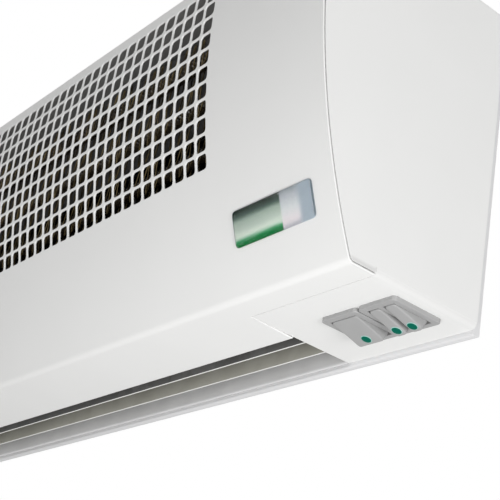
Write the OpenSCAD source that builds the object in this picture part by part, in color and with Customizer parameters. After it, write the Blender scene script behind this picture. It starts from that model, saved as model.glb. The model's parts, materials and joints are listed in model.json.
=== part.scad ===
// Wall-mounted electric air curtain: a perforated curved casing over a tangential fan and a needle heater.
// Millimetres. X runs along the casing, +Y points into the wall and +Z is up.
// The origin is on the wall face, at mid-length, level with the underside of the casing.

/* [Casing] */
// Overall length of the casing
length = 603; // [560:1:800]
// Height of the casing from its underside to its top
height = 183; // [176:1:190]
// Distance from the wall face to the most forward line of the front
depth = 130; // [126:1:136]
// Radius of the curved front
front_radius = 410; // [380:5:450]
// Thickness of the casing sheet
sheet = 1; // [0.8:0.1:1.2]
// Outer radius of the fold between the front and the underside
fold_radius = 4.5; // [3.5:0.5:6]
// Outer radius of the bend between the front and the top
top_bend_radius = 3; // [2.5:0.5:5]
// Outer radius of the bend between a side and the underside
side_bend_radius = 4; // [3:0.5:5]
// Width of the strip of the underside between the front fold and the seam
front_strip = 15.6; // [13:0.2:18]
// Width of the open seams between two sheets
seam_gap = 0.3; // [0.2:0.05:0.5]
// Width of the flanges that stiffen and join the sheets
flange_width = 11; // [9:0.5:13]
// Distance from the most forward line of the front to the flanges under the top
flange_from_front = 30; // [26:1:34]
// Distance from the wall face to the flanges under the top
flange_from_wall = 20; // [16:1:24]

/* [Wall tray] */
// Distance from the wall face to the rear edge of the casing
tray_depth = 4.3; // [3.5:0.1:5.5]
// Distance from the side of the casing in to the side of the tray
tray_inset = 2.1; // [1.5:0.1:3]
// Distance that the hemmed lower edge of the tray hangs below the underside
tray_drop = 2.6; // [2:0.1:3.5]
// Thickness of the tray sheet
tray_sheet = 1.2; // [1:0.1:1.5]
// Diameter of the wall fixing holes
wall_hole_d = 7; // [5:0.5:8]
// Distance between the wall fixing holes along the casing
wall_hole_spacing = 460; // [458:1:464]
// Vertical distance between the wall fixing holes
wall_hole_rise = 110; // [100:1:115]
// Height of the lower wall fixing holes above the underside
wall_hole_height = 40; // [36:1:45]

/* [Inlet grille] */
// Side of each square hole
hole_size = 8.5; // [6.5:0.25:8.75]
// Distance between hole centres, both along and up the front
hole_pitch = 10; // [9.5:0.5:12]
// Size of the cut corners of the holes
hole_corner = 1.2; // [0.6:0.1:1.6]
// Height above the underside at which the rows of holes start
grille_start = 66.4; // [62:0.2:72]
// Least plain strip left above the top row
grille_strip = 5; // [4:0.5:8]
// Least plain strip between the last hole and the end of the outlet
grille_side_strip = 2.5; // [2:0.5:5]

/* [Outlet] */
// Width of the outlet slot from front to rear
slot_width = 38.9; // [36:0.1:42]
// Distance from each side of the casing to the end of the outlet slot
slot_end = 89.5; // [88.5:0.5:92]
// Distance that the lip along the front of the slot drops below the underside
lip_drop = 1; // [0.6:0.1:1.5]
// Height of the upturned edge of that lip
lip_height = 11; // [9:0.5:14]
// Distance between the two guide vanes
vane_pitch = 14.2; // [12:0.2:15]
// Distance from the underside up to the lower edges of the vanes
vane_recess = 2.85; // [2:0.05:5]
// Height of each guide vane
vane_height = 26; // [20:1:30]
// Forward lean of the top of each vane
vane_lean = 6; // [3:0.5:8]
// Thickness of the vanes and duct walls
duct_sheet = 0.8; // [0.6:0.1:1]
// Thickness of the two end walls of the duct
bulkhead_sheet = 1.2; // [1:0.1:1.5]
// Distance from the end of the slot out to the end wall
bulkhead_setback = 1; // [0.8:0.1:1.5]

/* [Fan] */
// Diameter of the impeller
impeller_d = 60; // [56:1:62]
// Distance from the most forward line of the front to the fan axis
fan_from_front = 66; // [65:0.5:68]
// Height of the fan axis above the underside
fan_height = 104; // [102:0.5:107]
// Number of impeller blades
blade_count = 24; // [18:1:28]
// Radial depth of the ring of blades
blade_depth = 7.5; // [6:0.5:9]
// Thickness of the blades
blade_sheet = 0.7; // [0.6:0.1:0.9]
// Number of bays between the impeller discs
impeller_bays = 4; // [3:1:5]
// Thickness of the impeller discs
disc_sheet = 1.2; // [1:0.1:1.5]
// Space between the impeller and each end wall
impeller_end_gap = 9; // [8:0.5:11]
// Radius of the hub and of the journal's boss
hub_r = 9; // [8:0.5:10]
// Length of the hub and of the journal's boss
hub_length = 14; // [12:1:16]
// Space between the impeller and the start of the scroll
scroll_gap = 3.5; // [3:0.25:5]
// Least space between the scroll and the wall tray
scroll_wall_gap = 9.3; // [8:0.1:11]
// Diameter of the motor shaft and of the journal
shaft_d = 6; // [5:0.5:7]
// Radial clearance in the bearings
running_clearance = 0.05; // [0.03:0.01:0.08]

/* [Motor and bearing] */
// Diameter of the motor can
motor_d = 64; // [58:1:66]
// Length of the motor can
motor_length = 40; // [34:1:44]
// Distance from the end wall to the motor bracket plate
bracket_reach = 18; // [16:0.5:20]
// Thickness of the motor bracket
bracket_sheet = 1.5; // [1.2:0.1:2]
// Side of the square motor plate and bracket plate
motor_plate = 72; // [70:0.5:74]
// Distance of each motor screw from the fan axis, along Y and along Z
motor_screw_offset = 29; // [27:0.5:31]
// Thickness of the rubber mounts
rubber_mount_height = 4; // [3:0.5:5]
// Outer diameter of the bearing bush
bush_d = 12; // [11:0.5:13]
// Length of the bearing bush
bush_length = 10; // [8:0.5:11]
// Outer diameter of the bearing rubber
bearing_rubber_d = 24; // [22:0.5:26]
// Depth of the groove in the bearing rubber
rubber_groove = 2; // [1.5:0.25:2.5]

/* [Heater] */
// Number of mica strips
heater_rows = 3; // [2:1:3]
// Height of the lowest mica strip above the underside
heater_height = 84; // [82:1:88]
// Distance between the mica strips
heater_pitch = 28; // [26:0.5:30]
// Space between the front sheet and the mica strips
heater_gap = 6; // [5:0.5:8]
// Thickness of each mica strip
mica_sheet = 1; // [0.8:0.1:1.2]
// Distance that the needles stand out of a strip, above and below
needle_height = 11; // [9:0.5:12]
// Distance between needle tips along a strip
needle_pitch = 8; // [7:0.5:12]
// Width of the resistance wire
wire_width = 0.7; // [0.5:0.1:0.9]
// Distance between the two rows of needles, one along each edge of a strip
needle_row_gap = 10; // [8:0.5:11]
// Width of the ceramic holders along the casing
insulator_width = 6; // [5:0.5:7]
// Height of the ceramic holders
insulator_height = 8; // [6:0.5:9]
// Diameter of the terminal pins
pin_d = 3; // [2.5:0.25:3.5]
// Height of the terminal pins above the middle of their mica strip
pin_rise = 9; // [8:0.5:9.5]
// Length of the terminal pins outside the end wall
pin_outside = 15; // [12:1:18]

/* [Switches] */
// Width of each switch bezel
bezel_width = 25.2; // [24.6:0.1:25.8]
// Length of each switch bezel from front to rear
bezel_length = 31.6; // [30.5:0.1:33]
// Thickness of the bezels
bezel_height = 2.4; // [1.8:0.1:2.8]
// Corner radius of the bezels
bezel_corner = 2; // [1:0.25:3]
// Distance from the side of the casing to the middle of the nearer switch
switch_from_side = 19.4; // [18.6:0.1:20]
// Distance between the middles of the two switches
switch_pitch = 26.1; // [26:0.1:28]
// Distance from the rear edge of the casing to the rocker pivots
switch_from_rear = 32.2; // [30:0.1:34]
// Width of the single wide rocker
wide_key = 17.6; // [16.6:0.1:17.8]
// Width of each narrow rocker
narrow_key = 7.2; // [6.8:0.1:7.4]
// Distance between the middles of the narrow rockers
narrow_key_pitch = 10.4; // [10.3:0.1:10.6]
// Distance from the pivot to either end of a rocker
key_reach = 10.4; // [9.8:0.1:10.6]
// Distance from the pivot down to the ends of a rocker
key_drop = 7.7; // [7.3:0.1:8]
// Depth of the hollow along a rocker
key_hollow = 0.2; // [0.1:0.1:0.8]
// Height of the pivot above the underside
pivot_height = 2.5; // [2.2:0.1:2.8]
// Tilt of a rocker away from level in either position, in degrees
key_tilt = 14; // [10:1:14]
// Diameter of the rocker pivots
pivot_d = 3; // [2.5:0.1:3.2]
// Space round each rocker in its window
key_gap = 0.4; // [0.3:0.05:0.5]
// Diameter of the green dots
dot_d = 5.2; // [4.4:0.1:5.4]
// Distance from the pivot to the dot along the rocker
dot_offset = 6.2; // [5.4:0.1:6.5]
// Height of the switch bodies inside the casing
switch_body_height = 18; // [15:0.5:20]

/* [Badge] */
// Width of the badge
badge_width = 59; // [50:1:66]
// Height of the badge
badge_height = 18.5; // [16:0.5:20]
// Corner radius of the badge
badge_corner = 2.2; // [1.5:0.1:3]
// Thickness of the printed plate
badge_sheet = 0.8; // [0.6:0.1:1]
// Height of the clear dome over the plate
dome_height = 0.9; // [0.6:0.1:1.2]
// Distance from the side of the casing to the nearer end of the badge
badge_from_side = 15; // [13:0.5:20]
// Height of the middle of the badge above the underside
badge_middle = 31; // [29:0.5:36]

/* [Connections] */
// Length of the terminal block along the casing
block_length = 48; // [42:1:50]
// Height of the terminal block
block_height = 22; // [20:1:24]
// Depth of the terminal block
block_depth = 16; // [14:0.5:18]
// Number of poles of the terminal block
pole_count = 5; // [3:1:5]
// Space between the cable clamp and the terminal block
block_gap = 16; // [14:1:18]
// Inner diameter of the cable inlet
inlet_d = 12; // [10:0.5:13]
// Distance from the top of the casing down to the cable inlet
inlet_below_top = 28; // [26:1:31]
// Distance from the side of the casing to the cable inlet and the terminal block
inlet_from_side = 40; // [38:1:44]
// Diameter of the supply cable that the clamp holds
cable_d = 8; // [7:0.5:9]
// Diameter of the casing screws and of the motor screws
screw_d = 4; // [3.5:0.5:5]

/* [Hidden] */
$fn = 48;
eps = 1;

// Colours
white = [0.93, 0.93, 0.92];
zinc = [0.68, 0.69, 0.70];
mid_grey = [0.63, 0.63, 0.64];
dark_grey = [0.22, 0.22, 0.23];
steel = [0.6, 0.6, 0.62];
green = [0, 0.45, 0.33];
mica = [0.62, 0.52, 0.35];
nichrome = [0.55, 0.45, 0.3];
ceramic = [0.92, 0.9, 0.85];
brass = [0.8, 0.65, 0.3];
black = [0.08, 0.08, 0.08];
clear = [0.85, 0.92, 0.9, 0.35];

// Main places
half = length / 2;
rear = -tray_depth;
slot_front = rear - slot_width;
slot_half = half - slot_end;
wall_half = slot_half + bulkhead_setback;
fan = [fan_from_front - depth, fan_height];
impeller_r = impeller_d / 2;
shaft_r = shaft_d / 2;

// The front is an arc about face_centre, with the fold below it and the top bend above it. Points are [y, z].
face_centre = [front_radius - depth, height];
fold_angle = 180 + asin((height - fold_radius) / (front_radius - fold_radius));
fold_centre = face_centre + (front_radius - fold_radius) * [cos(fold_angle), sin(fold_angle)];
top_angle = 180 + asin(top_bend_radius / (front_radius - top_bend_radius));
top_centre = face_centre + (front_radius - top_bend_radius) * [cos(top_angle), sin(top_angle)];

// The rows of holes each take one flat facet of the front
row_turn = 2 * asin(hole_pitch / 2 / front_radius);
grille_angle = 180 + asin((height - grille_start) / front_radius);
strip_turn = 2 * asin(grille_strip / 2 / front_radius);
rows = floor((grille_angle - top_angle - strip_turn) / row_turn);
columns = floor((2 * (slot_half - grille_side_strip) + hole_pitch - hole_size) / hole_pitch);
plain_facets = 12;
plain_turn = (fold_angle - grille_angle) / plain_facets;
face_angles = concat(
    [for (i = [1 : plain_facets]) fold_angle - i * plain_turn],
    [for (j = [1 : rows]) grille_angle - j * row_turn]
);

function arc(centre, r, from, to, steps) =
    [for (i = [0 : steps]) let (a = from + (to - from) * i / steps) centre + r * [cos(a), sin(a)]];
function turned(list) = [for (i = [len(list) - 1 : -1 : 0]) list[i]];
function face_y(z, inset) = face_centre.x - sqrt(pow(front_radius - inset, 2) - pow(height - z, 2));
seam = face_y(0, 0) + front_strip;

// The casing's outline from the underside, round the front, to the top
function outline(inset) = concat(
    arc(fold_centre, fold_radius - inset, 270, fold_angle, 6),
    [for (a = face_angles) face_centre + (front_radius - inset) * [cos(a), sin(a)]],
    arc(top_centre, top_bend_radius - inset, top_angle, 90, 4)
);

function rounded_points(w, h, r, steps) = concat(
    arc([w / 2 - r, h / 2 - r], r, 0, 90, steps),
    arc([r - w / 2, h / 2 - r], r, 90, 180, steps),
    arc([r - w / 2, r - h / 2], r, 180, 270, steps),
    arc([w / 2 - r, r - h / 2], r, 270, 360, steps)
);

// A section drawn in [y, z], carried along X
module along_x(from, to) {
    translate([from, 0, 0]) rotate([90, 0, 90]) linear_extrude(to - from) children();
}

// A section drawn in [x, z], carried along Y
module along_y(from, to) {
    translate([0, to, 0]) rotate([90, 0, 0]) linear_extrude(to - from) children();
}

module block(low, high) {
    translate(low) cube(high - low);
}

module tube_x(from, to, outer, inner, y, z) {
    translate([from, y, z]) rotate([0, 90, 0]) difference() {
        cylinder(r = outer, h = to - from);
        translate([0, 0, -eps]) cylinder(r = inner, h = to - from + 2 * eps);
    }
}

module rod_x(from, to, r, y, z) {
    translate([from, y, z]) rotate([0, 90, 0]) cylinder(r = r, h = to - from);
}

module rod_y(from, to, r, x, z) {
    translate([x, to, z]) rotate([90, 0, 0]) cylinder(r = r, h = to - from);
}

// ---- Casing ----

cover_half = half - seam_gap;
cover_rear = rear - seam_gap;
top_flange_front = flange_from_front - depth;
top_flange_rear = -flange_from_wall;
screw_lines = [half - sheet - flange_width / 2, wall_half + bulkhead_sheet + flange_width / 2];
screw_rows = [top_flange_rear - flange_width, top_flange_front + flange_width];
screw_r = screw_d / 2;
screw_clearance = 0.15;
screw_hole_r = screw_r + screw_clearance;
head_r = screw_d;
head_height = 0.6 * screw_d;

module cover_section() {
    polygon(concat(
        [[seam, 0]], outline(0), [[cover_rear, height], [cover_rear, height - sheet]],
        turned(outline(sheet)), [[seam, sheet]]
    ));
}

module lip_section() {
    polygon([
        [seam - eps, 0], [seam, 0], [slot_front, -lip_drop], [slot_front, lip_height - lip_drop],
        [slot_front - sheet, lip_height - lip_drop], [slot_front - sheet, sheet - lip_drop],
        [seam, sheet], [seam - eps, sheet]
    ]);
}

module hole_row() {
    w = hole_size;
    c = hole_corner;
    for (i = [0 : columns - 1]) {
        translate([(i - (columns - 1) / 2) * hole_pitch, 0])
            polygon([
                [c - w / 2, -w / 2], [w / 2 - c, -w / 2], [w / 2, c - w / 2], [w / 2, w / 2 - c],
                [w / 2 - c, w / 2], [c - w / 2, w / 2], [-w / 2, w / 2 - c], [-w / 2, c - w / 2]
            ]);
    }
}

// Stands a shape on the front at an angle about the face centre, its own Z pointing out
module on_face(angle) {
    translate([0, face_centre.x, face_centre.y]) rotate([angle - 90, 0, 0])
        translate([0, 0, front_radius]) children();
}

module screw_holes(bottom, top) {
    for (side = [-1, 1], x = screw_lines, y = screw_rows) {
        translate([side * x, y, bottom]) cylinder(r = screw_hole_r, h = top - bottom);
    }
}

module front_cover() {
    color(white) difference() {
        union() {
            along_x(-cover_half, cover_half) cover_section();
            along_x(-slot_half, slot_half) lip_section();
        }
        for (j = [0 : rows - 1]) {
            on_face(grille_angle - (j + 0.5) * row_turn)
                translate([0, 0, -3 * sheet]) linear_extrude(5 * sheet) hole_row();
        }
        screw_holes(height - 2 * sheet, height + sheet);
    }
}

// The side lies inside the wrap of the front cover and is cut free of its underside bend at the seam
module side_section() {
    wrap = sheet + seam_gap;
    cut = side_bend_radius + seam_gap;
    polygon(concat(
        [[seam, wrap]], outline(wrap),
        [
            [rear, height - wrap], [rear, side_bend_radius], [seam + seam_gap, side_bend_radius],
            [seam + seam_gap, cut], [seam, cut]
        ]
    ));
}

module end_panel_sheet() {
    bend = [half - side_bend_radius, side_bend_radius];
    along_x(half - sheet, half) side_section();
    along_y(seam + seam_gap, cover_rear) polygon(concat(
        arc(bend, side_bend_radius, 270, 360, 8), turned(arc(bend, side_bend_radius - sheet, 270, 360, 8))
    ));
    block([slot_half + seam_gap, seam + seam_gap, 0], [half - side_bend_radius, cover_rear, sheet]);
    // tab tucked over the front cover's strip
    block([slot_half + 4 * sheet, seam - flange_width, sheet],
          [half - side_bend_radius - sheet, seam + flange_width / 4, 2 * sheet]);
    // rear flange against the tray
    block([half - sheet - flange_width, rear - sheet, 2 * side_bend_radius],
          [half - sheet, rear, height - 2 * side_bend_radius]);
    // top flange under the cover
    block([half - sheet - flange_width, top_flange_front, height - 2 * sheet],
          [half - sheet, top_flange_rear, height - sheet]);
}

module right_end_panel() {
    color(white) difference() {
        end_panel_sheet();
        for (x = switch_x) {
            block([x - body_half.x - seam_gap, switch_y - body_half.y - seam_gap, -eps],
                  [x + body_half.x + seam_gap, switch_y + body_half.y + seam_gap, 3 * sheet]);
        }
        screw_holes(height - 3 * sheet, height);
    }
}

module left_end_panel() {
    color(white) mirror([1, 0, 0]) difference() {
        end_panel_sheet();
        screw_holes(height - 3 * sheet, height);
    }
}

tray_half = half - tray_inset;
tray_top = height - tray_inset;
inlet = [half - inlet_from_side, height - inlet_below_top];
inlet_r = inlet_d / 2;
grommet_wall = 3;

module rear_panel() {
    hem = tray_drop / 2;
    color(white) difference() {
        union() {
            block([-tray_half, -tray_sheet, -hem], [tray_half, 0, tray_top]);
            for (side = [-1, 1]) {
                translate([side * (tray_half - tray_sheet / 2), rear / 2, (tray_top - hem) / 2])
                    cube([tray_sheet, tray_depth, tray_top + hem], center = true);
            }
            block([-tray_half, rear, tray_top - tray_sheet], [tray_half, 0, tray_top]);
            // hemmed lower edge
            along_x(-tray_half, tray_half) union() {
                translate([rear + hem, -hem]) circle(r = hem);
                translate([-hem, -hem]) circle(r = hem);
                translate([rear + hem, -tray_drop]) square([tray_depth - tray_drop, tray_drop]);
                translate([rear, -hem]) square([tray_depth, hem]);
            }
        }
        for (x = [-0.5, 0.5] * wall_hole_spacing, z = [0, 1] * wall_hole_rise + [1, 1] * wall_hole_height) {
            rod_y(-2 * tray_depth, eps, wall_hole_d / 2, x, z);
        }
        rod_y(-2 * tray_sheet, eps, inlet_r + grommet_wall, inlet.x, inlet.y);
    }
}

module cover_screws() {
    color(steel) for (side = [-1, 1], x = screw_lines, y = screw_rows) {
        translate([side * x, y, height]) {
            cylinder(r = head_r, h = head_height);
            translate([0, 0, -4 * sheet]) cylinder(r = screw_r, h = 4 * sheet);
        }
    }
}

// ---- Duct ----

wall_inset = sheet + 0.5;
bulkhead_flange_end = 10;
bulkhead_flange_width = flange_width - 3;

module bulkhead_section() {
    polygon(concat(
        outline(wall_inset),
        [
            [rear - seam_gap, height - wall_inset], [rear - seam_gap, tray_top - 3 * tray_sheet],
            [-tray_sheet, tray_top - 3 * tray_sheet], [-tray_sheet, 2 * tray_sheet],
            [rear - seam_gap, 2 * tray_sheet], [rear - seam_gap, wall_inset]
        ]
    ));
}

module bulkhead() {
    outer = wall_half + bulkhead_sheet;
    along_x(wall_half, outer) bulkhead_section();
    block([outer, -tray_sheet - bulkhead_sheet, bulkhead_flange_end],
          [outer + bulkhead_flange_width, -tray_sheet, tray_top - bulkhead_flange_end]);
    block([wall_half, top_flange_front, height - 2 * sheet],
          [outer + flange_width, top_flange_rear, height - sheet]);
}

module duct_end_wall_left() {
    color(zinc) mirror([1, 0, 0]) difference() {
        bulkhead();
        rod_x(wall_half - eps, wall_half + 2 * bulkhead_sheet, hub_opening_r, fan.x, fan.y);
        screw_holes(height - 3 * sheet, height);
    }
}

module duct_end_wall_right() {
    color(zinc) difference() {
        bulkhead();
        rod_x(wall_half - eps, wall_half + 2 * bulkhead_sheet, bearing_rubber_d / 2 - rubber_groove, fan.x, fan.y);
        at_pins() rod_x(wall_half - eps, wall_half + 2 * bulkhead_sheet, pin_hole_r, 0, 0);
        screw_holes(height - 3 * sheet, height);
    }
}

// The scroll opens from over the fan to behind it, where it comes nearest to the wall, and on to its end
scroll_start = 110;
scroll_nearest = -10;
scroll_end = -20;
scroll_steps = 26;
scroll_reach = -fan.x - tray_sheet - duct_sheet - scroll_wall_gap;
scroll_growth = (scroll_reach - impeller_r - scroll_gap) / (scroll_start - scroll_nearest);
scroll_lead = 42;
scroll_below_top = 12;
function scroll_r(a) = impeller_r + scroll_gap + (scroll_start - a) * scroll_growth;
function scroll_points(grow) = concat(
    [[fan.x - scroll_lead, height - scroll_below_top + grow]],
    [for (i = [0 : scroll_steps]) let (a = scroll_start + (scroll_end - scroll_start) * i / scroll_steps)
        fan + (scroll_r(a) + grow) * [cos(a), sin(a)]],
    [[rear - seam_gap - duct_sheet + grow, 0]]
);

module scroll_panel() {
    color(zinc) difference() {
        along_x(-wall_half, wall_half) polygon(concat(scroll_points(0), turned(scroll_points(duct_sheet))));
        // its lower edge passes between the two underside plates
        for (x = [-wall_half - eps, slot_half]) {
            block([x, 3 * rear, -eps], [x + bulkhead_setback + eps, eps, sheet + seam_gap]);
        }
    }
}

// The front wall rises from the slot, curves forward to the tongue under the fan and ends in a shelf behind the front
tongue_angle = 255;
tongue_nose = 3;
tongue_drop = 4;
throat_height = 29;
throat_curve = 14;
shelf_below_grille = 8.4;
shelf_gap = 2.5;
tongue = fan + (impeller_r + scroll_gap) * [cos(tongue_angle), sin(tongue_angle)];
front_wall_y = slot_front - sheet;
shelf_z = grille_start - shelf_below_grille;

function bend(a, b, c, steps) =
    [for (i = [0 : steps]) let (t = i / steps) (1 - t) * (1 - t) * a + 2 * t * (1 - t) * b + t * t * c];
function normal_at(list, i) =
    let (d = list[min(i + 1, len(list) - 1)] - list[max(i - 1, 0)]) [-d.y, d.x] / norm(d);
function shifted(list, by) = [for (i = [0 : len(list) - 1]) list[i] + by * normal_at(list, i)];

front_wall = concat(
    [[front_wall_y, 4 * sheet]],
    bend([front_wall_y, throat_height], [front_wall_y, throat_height + throat_curve],
         tongue + [2 * tongue_nose, -tongue_drop], 5),
    [tongue, tongue + [-tongue_nose, -1], tongue + [-2 * tongue_nose, -tongue_drop - 1],
     [face_y(shelf_z, sheet) + shelf_gap, shelf_z]]
);

module duct_front_wall() {
    color(zinc) along_x(-wall_half, wall_half)
        polygon(concat(front_wall, turned(shifted(front_wall, duct_sheet))));
}

// A vane is an arc that stands upright at its lower edge and leans forward at its top
vane_radius = (pow(vane_height, 2) + pow(vane_lean, 2)) / (2 * vane_lean);
vane_turn = asin(vane_height / vane_radius);
slot_middle = (rear + slot_front) / 2;

module guide_vane(y) {
    centre = [y - vane_radius, vane_recess];
    color(zinc) along_x(-wall_half, wall_half) polygon(concat(
        arc(centre, vane_radius + duct_sheet / 2, 0, vane_turn, 10),
        turned(arc(centre, vane_radius - duct_sheet / 2, 0, vane_turn, 10))
    ));
}

module guide_vane_front() {
    guide_vane(slot_middle - vane_pitch / 2);
}

module guide_vane_rear() {
    guide_vane(slot_middle + vane_pitch / 2);
}

// ---- Fan ----

impeller_end = wall_half - impeller_end_gap;
hub_stand = 2;
hub_opening_r = hub_r + 6;
disc_rim = 0.5;
blade_in = impeller_r - disc_rim - blade_depth;
blade_lean = 30;
blade_steps = 5;

// A forward-curved blade, thinner than the space to its neighbours
module blade_section() {
    back = [for (k = [0 : blade_steps])
        let (t = k / blade_steps, r = blade_in + t * blade_depth, a = blade_lean * t * t / 2) r * [cos(a), sin(a)]];
    face = [for (k = [0 : blade_steps]) let (t = k / blade_steps, a = blade_lean * (t + t * t / 2))
        back[k] + blade_sheet * [-sin(a), cos(a)]];
    polygon(concat(back, turned(face)));
}

module fan_impeller() {
    bay = (2 * impeller_end - disc_sheet) / impeller_bays;
    color(dark_grey) union() {
        translate([0, fan.x, fan.y]) along_x(-impeller_end, impeller_end)
            for (i = [0 : blade_count - 1]) rotate(i * 360 / blade_count) blade_section();
        for (i = [0 : impeller_bays]) {
            tube_x(i * bay - impeller_end, i * bay - impeller_end + disc_sheet, impeller_r, hub_r, fan.x, fan.y);
        }
    }
}

module impeller_hub() {
    color(black) tube_x(-impeller_end - hub_stand, hub_length - impeller_end - hub_stand, hub_r, shaft_r, fan.x, fan.y);
}

journal_end = wall_half + bush_length;

module impeller_journal() {
    color(steel) {
        rod_x(impeller_end - hub_length + hub_stand, impeller_end + hub_stand, hub_r, fan.x, fan.y);
        rod_x(impeller_end, journal_end, shaft_r, fan.x, fan.y);
    }
}

bracket_face = -wall_half - bulkhead_sheet - bracket_reach;
motor_face = bracket_face - bracket_sheet - rubber_mount_height;
motor_plate_sheet = 2;
can_front = motor_face - motor_plate_sheet;
can_rear = can_front - motor_length;
can_wall = 2;
stator_depth = 12;
rotor_gap = 1;
rotor_r = motor_d / 2 - stator_depth;

module motor_rotor() {
    color(steel) {
        rod_x(can_rear + can_wall / 2, hub_length - impeller_end - hub_stand, shaft_r, fan.x, fan.y);
        rod_x(can_rear + 3 * can_wall, can_front - 3 * can_wall, rotor_r, fan.x, fan.y);
    }
}

// ---- Motor and bearing ----

motor_screw_places = [for (a = [-1, 1], b = [-1, 1]) [fan.x + a * motor_screw_offset, fan.y + b * motor_screw_offset]];

module plate_x(from, to, side, y, z) {
    block([from, y - side / 2, z - side / 2], [to, y + side / 2, z + side / 2]);
}

module motor_body() {
    color(zinc) difference() {
        union() {
            rod_x(can_rear, can_front, motor_d / 2, fan.x, fan.y);
            plate_x(can_front, motor_face, motor_plate, fan.x, fan.y);
        }
        rod_x(can_rear + can_wall, can_front - can_wall, rotor_r + rotor_gap, fan.x, fan.y);
        rod_x(can_rear - eps, motor_face + eps, shaft_r + running_clearance, fan.x, fan.y);
        for (p = motor_screw_places) rod_x(can_front - eps, motor_face + eps, screw_hole_r, p.x, p.y);
    }
}

module motor_rubber_mounts() {
    color(black) for (p = motor_screw_places) {
        tube_x(motor_face, bracket_face - bracket_sheet, 1.6 * screw_d, screw_hole_r, p.x, p.y);
    }
}

module motor_bracket() {
    leg = motor_plate / 2;
    color(zinc) difference() {
        union() {
            plate_x(bracket_face - bracket_sheet, bracket_face, motor_plate, fan.x, fan.y);
            for (up = [-1, 1]) {
                z = fan.y + up * (leg - bracket_sheet / 2);
                foot = fan.y + up * (leg + flange_width / 2 - bracket_sheet);
                translate([bracket_face + bracket_reach / 2 - bracket_sheet / 2, fan.x, z])
                    cube([bracket_reach + bracket_sheet, motor_plate, bracket_sheet], center = true);
                translate([bracket_face + bracket_reach - bracket_sheet / 2, fan.x, foot])
                    cube([bracket_sheet, motor_plate, flange_width], center = true);
            }
        }
        rod_x(bracket_face - 2 * bracket_sheet, bracket_face + eps, hub_opening_r, fan.x, fan.y);
        for (p = motor_screw_places) {
            rod_x(bracket_face - 2 * bracket_sheet, bracket_face + eps, screw_hole_r, p.x, p.y);
        }
    }
}

module motor_screws() {
    color(steel) for (p = motor_screw_places) {
        rod_x(can_front - head_height, can_front, 0.9 * head_r, p.x, p.y);
        rod_x(can_front, bracket_face + screw_d, screw_r, p.x, p.y);
        translate([bracket_face, p.x, p.y]) rotate([0, 90, 0]) cylinder(r = screw_d, h = 0.8 * screw_d, $fn = 6);
    }
}

bush_start = wall_half + bulkhead_sheet / 2 - bush_length / 2;
rubber_lip = 3;

module bearing_bush() {
    color(brass) tube_x(bush_start, bush_start + bush_length, bush_d / 2, shaft_r + running_clearance, fan.x, fan.y);
}

module bearing_rubber() {
    outer = bearing_rubber_d / 2;
    color(black) difference() {
        rod_x(wall_half - rubber_lip, wall_half + bulkhead_sheet + rubber_lip, outer, fan.x, fan.y);
        tube_x(wall_half, wall_half + bulkhead_sheet, outer + eps, outer - rubber_groove, fan.x, fan.y);
        rod_x(wall_half - 2 * rubber_lip, wall_half + bulkhead_sheet + 2 * rubber_lip, bush_d / 2, fan.x, fan.y);
    }
}

// ---- Heater ----

function heater_z(i) = heater_height + i * heater_pitch;
function heater_y(i) = face_y(heater_z(i), sheet) + heater_gap + needle_row_gap / 2;
mica_depth = needle_row_gap - wire_width;
mica_half = wall_half - insulator_width / 2;
needle_end_gap = 3;
needle_half = wall_half - insulator_width - needle_end_gap;
needle_count = floor(2 * needle_half / needle_pitch);
needle_start = -needle_count * needle_pitch / 2;
ribbon_width = 3 * wire_width;
insulator_wall = 2;
insulator_cover = 3;
pin_inside = insulator_width + 2;
pin_clearance = 2;
pin_hole_r = pin_d / 2 + pin_clearance;

// One unbroken zigzag ribbon, drawn in [x, z], with its tips above and below the strip and its end on the pin
module needle_ribbon() {
    top = concat(
        [for (k = [0 : 2 * needle_count])
            [needle_start + k * needle_pitch / 2, (k % 2 == 0 ? -1 : 1) * needle_height]],
        [[wall_half - pin_inside, pin_rise]]
    );
    low = [for (p = turned(top)) [p.x, p.y - ribbon_width]];
    polygon(concat(top, low));
}

// Each element goes out along one edge of its strip and comes back along the other
module heater_needles() {
    color(nichrome) for (i = [0 : heater_rows - 1]) translate([0, heater_y(i), heater_z(i) + ribbon_width / 2]) {
        for (row = [-0.5, 0.5] * needle_row_gap) {
            along_y(row - wire_width / 2, row + wire_width / 2) needle_ribbon();
        }
        block([needle_start - wire_width, -(needle_row_gap + wire_width) / 2, -needle_height - ribbon_width],
              [needle_start, (needle_row_gap + wire_width) / 2, -needle_height]);
    }
}

module heater_mica_strips() {
    color(mica) for (i = [0 : heater_rows - 1]) {
        translate([0, heater_y(i), heater_z(i)]) cube([2 * mica_half, mica_depth, mica_sheet], center = true);
    }
}

module at_pins() {
    for (i = [0 : heater_rows - 1], row = [-0.5, 0.5] * needle_row_gap) {
        translate([0, heater_y(i) + row, heater_z(i) + pin_rise]) children();
    }
}

// The holders at the switch end also carry the pins
module heater_insulators() {
    inner = wall_half - insulator_width;
    holder = mica_depth / 2 + insulator_wall;
    color(ceramic) difference() {
        for (i = [0 : heater_rows - 1], side = [-1, 1]) {
            top = side < 0 ? insulator_height / 2 : pin_rise + insulator_cover;
            translate([side * (wall_half + inner) / 2, heater_y(i), heater_z(i)]) difference() {
                block([-insulator_width / 2, -holder, -insulator_height / 2], [insulator_width / 2, holder, top]);
                translate([-side * insulator_width / 2, 0, 0])
                    cube([insulator_width, mica_depth, mica_sheet], center = true);
            }
        }
        at_pins() rod_x(inner - eps, wall_half + eps, pin_d / 2, 0, 0);
    }
}

module heater_terminals() {
    color(brass) at_pins() rod_x(wall_half - pin_inside, wall_half + pin_outside, pin_d / 2, 0, 0);
}

cutout_r = 8;
cutout_height = 9;
cutout_forward = 8;
cutout_below = 58;
cutout_flange = [1, 14, 5];
cutout_tab = [8, 3, 0.4];

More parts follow.
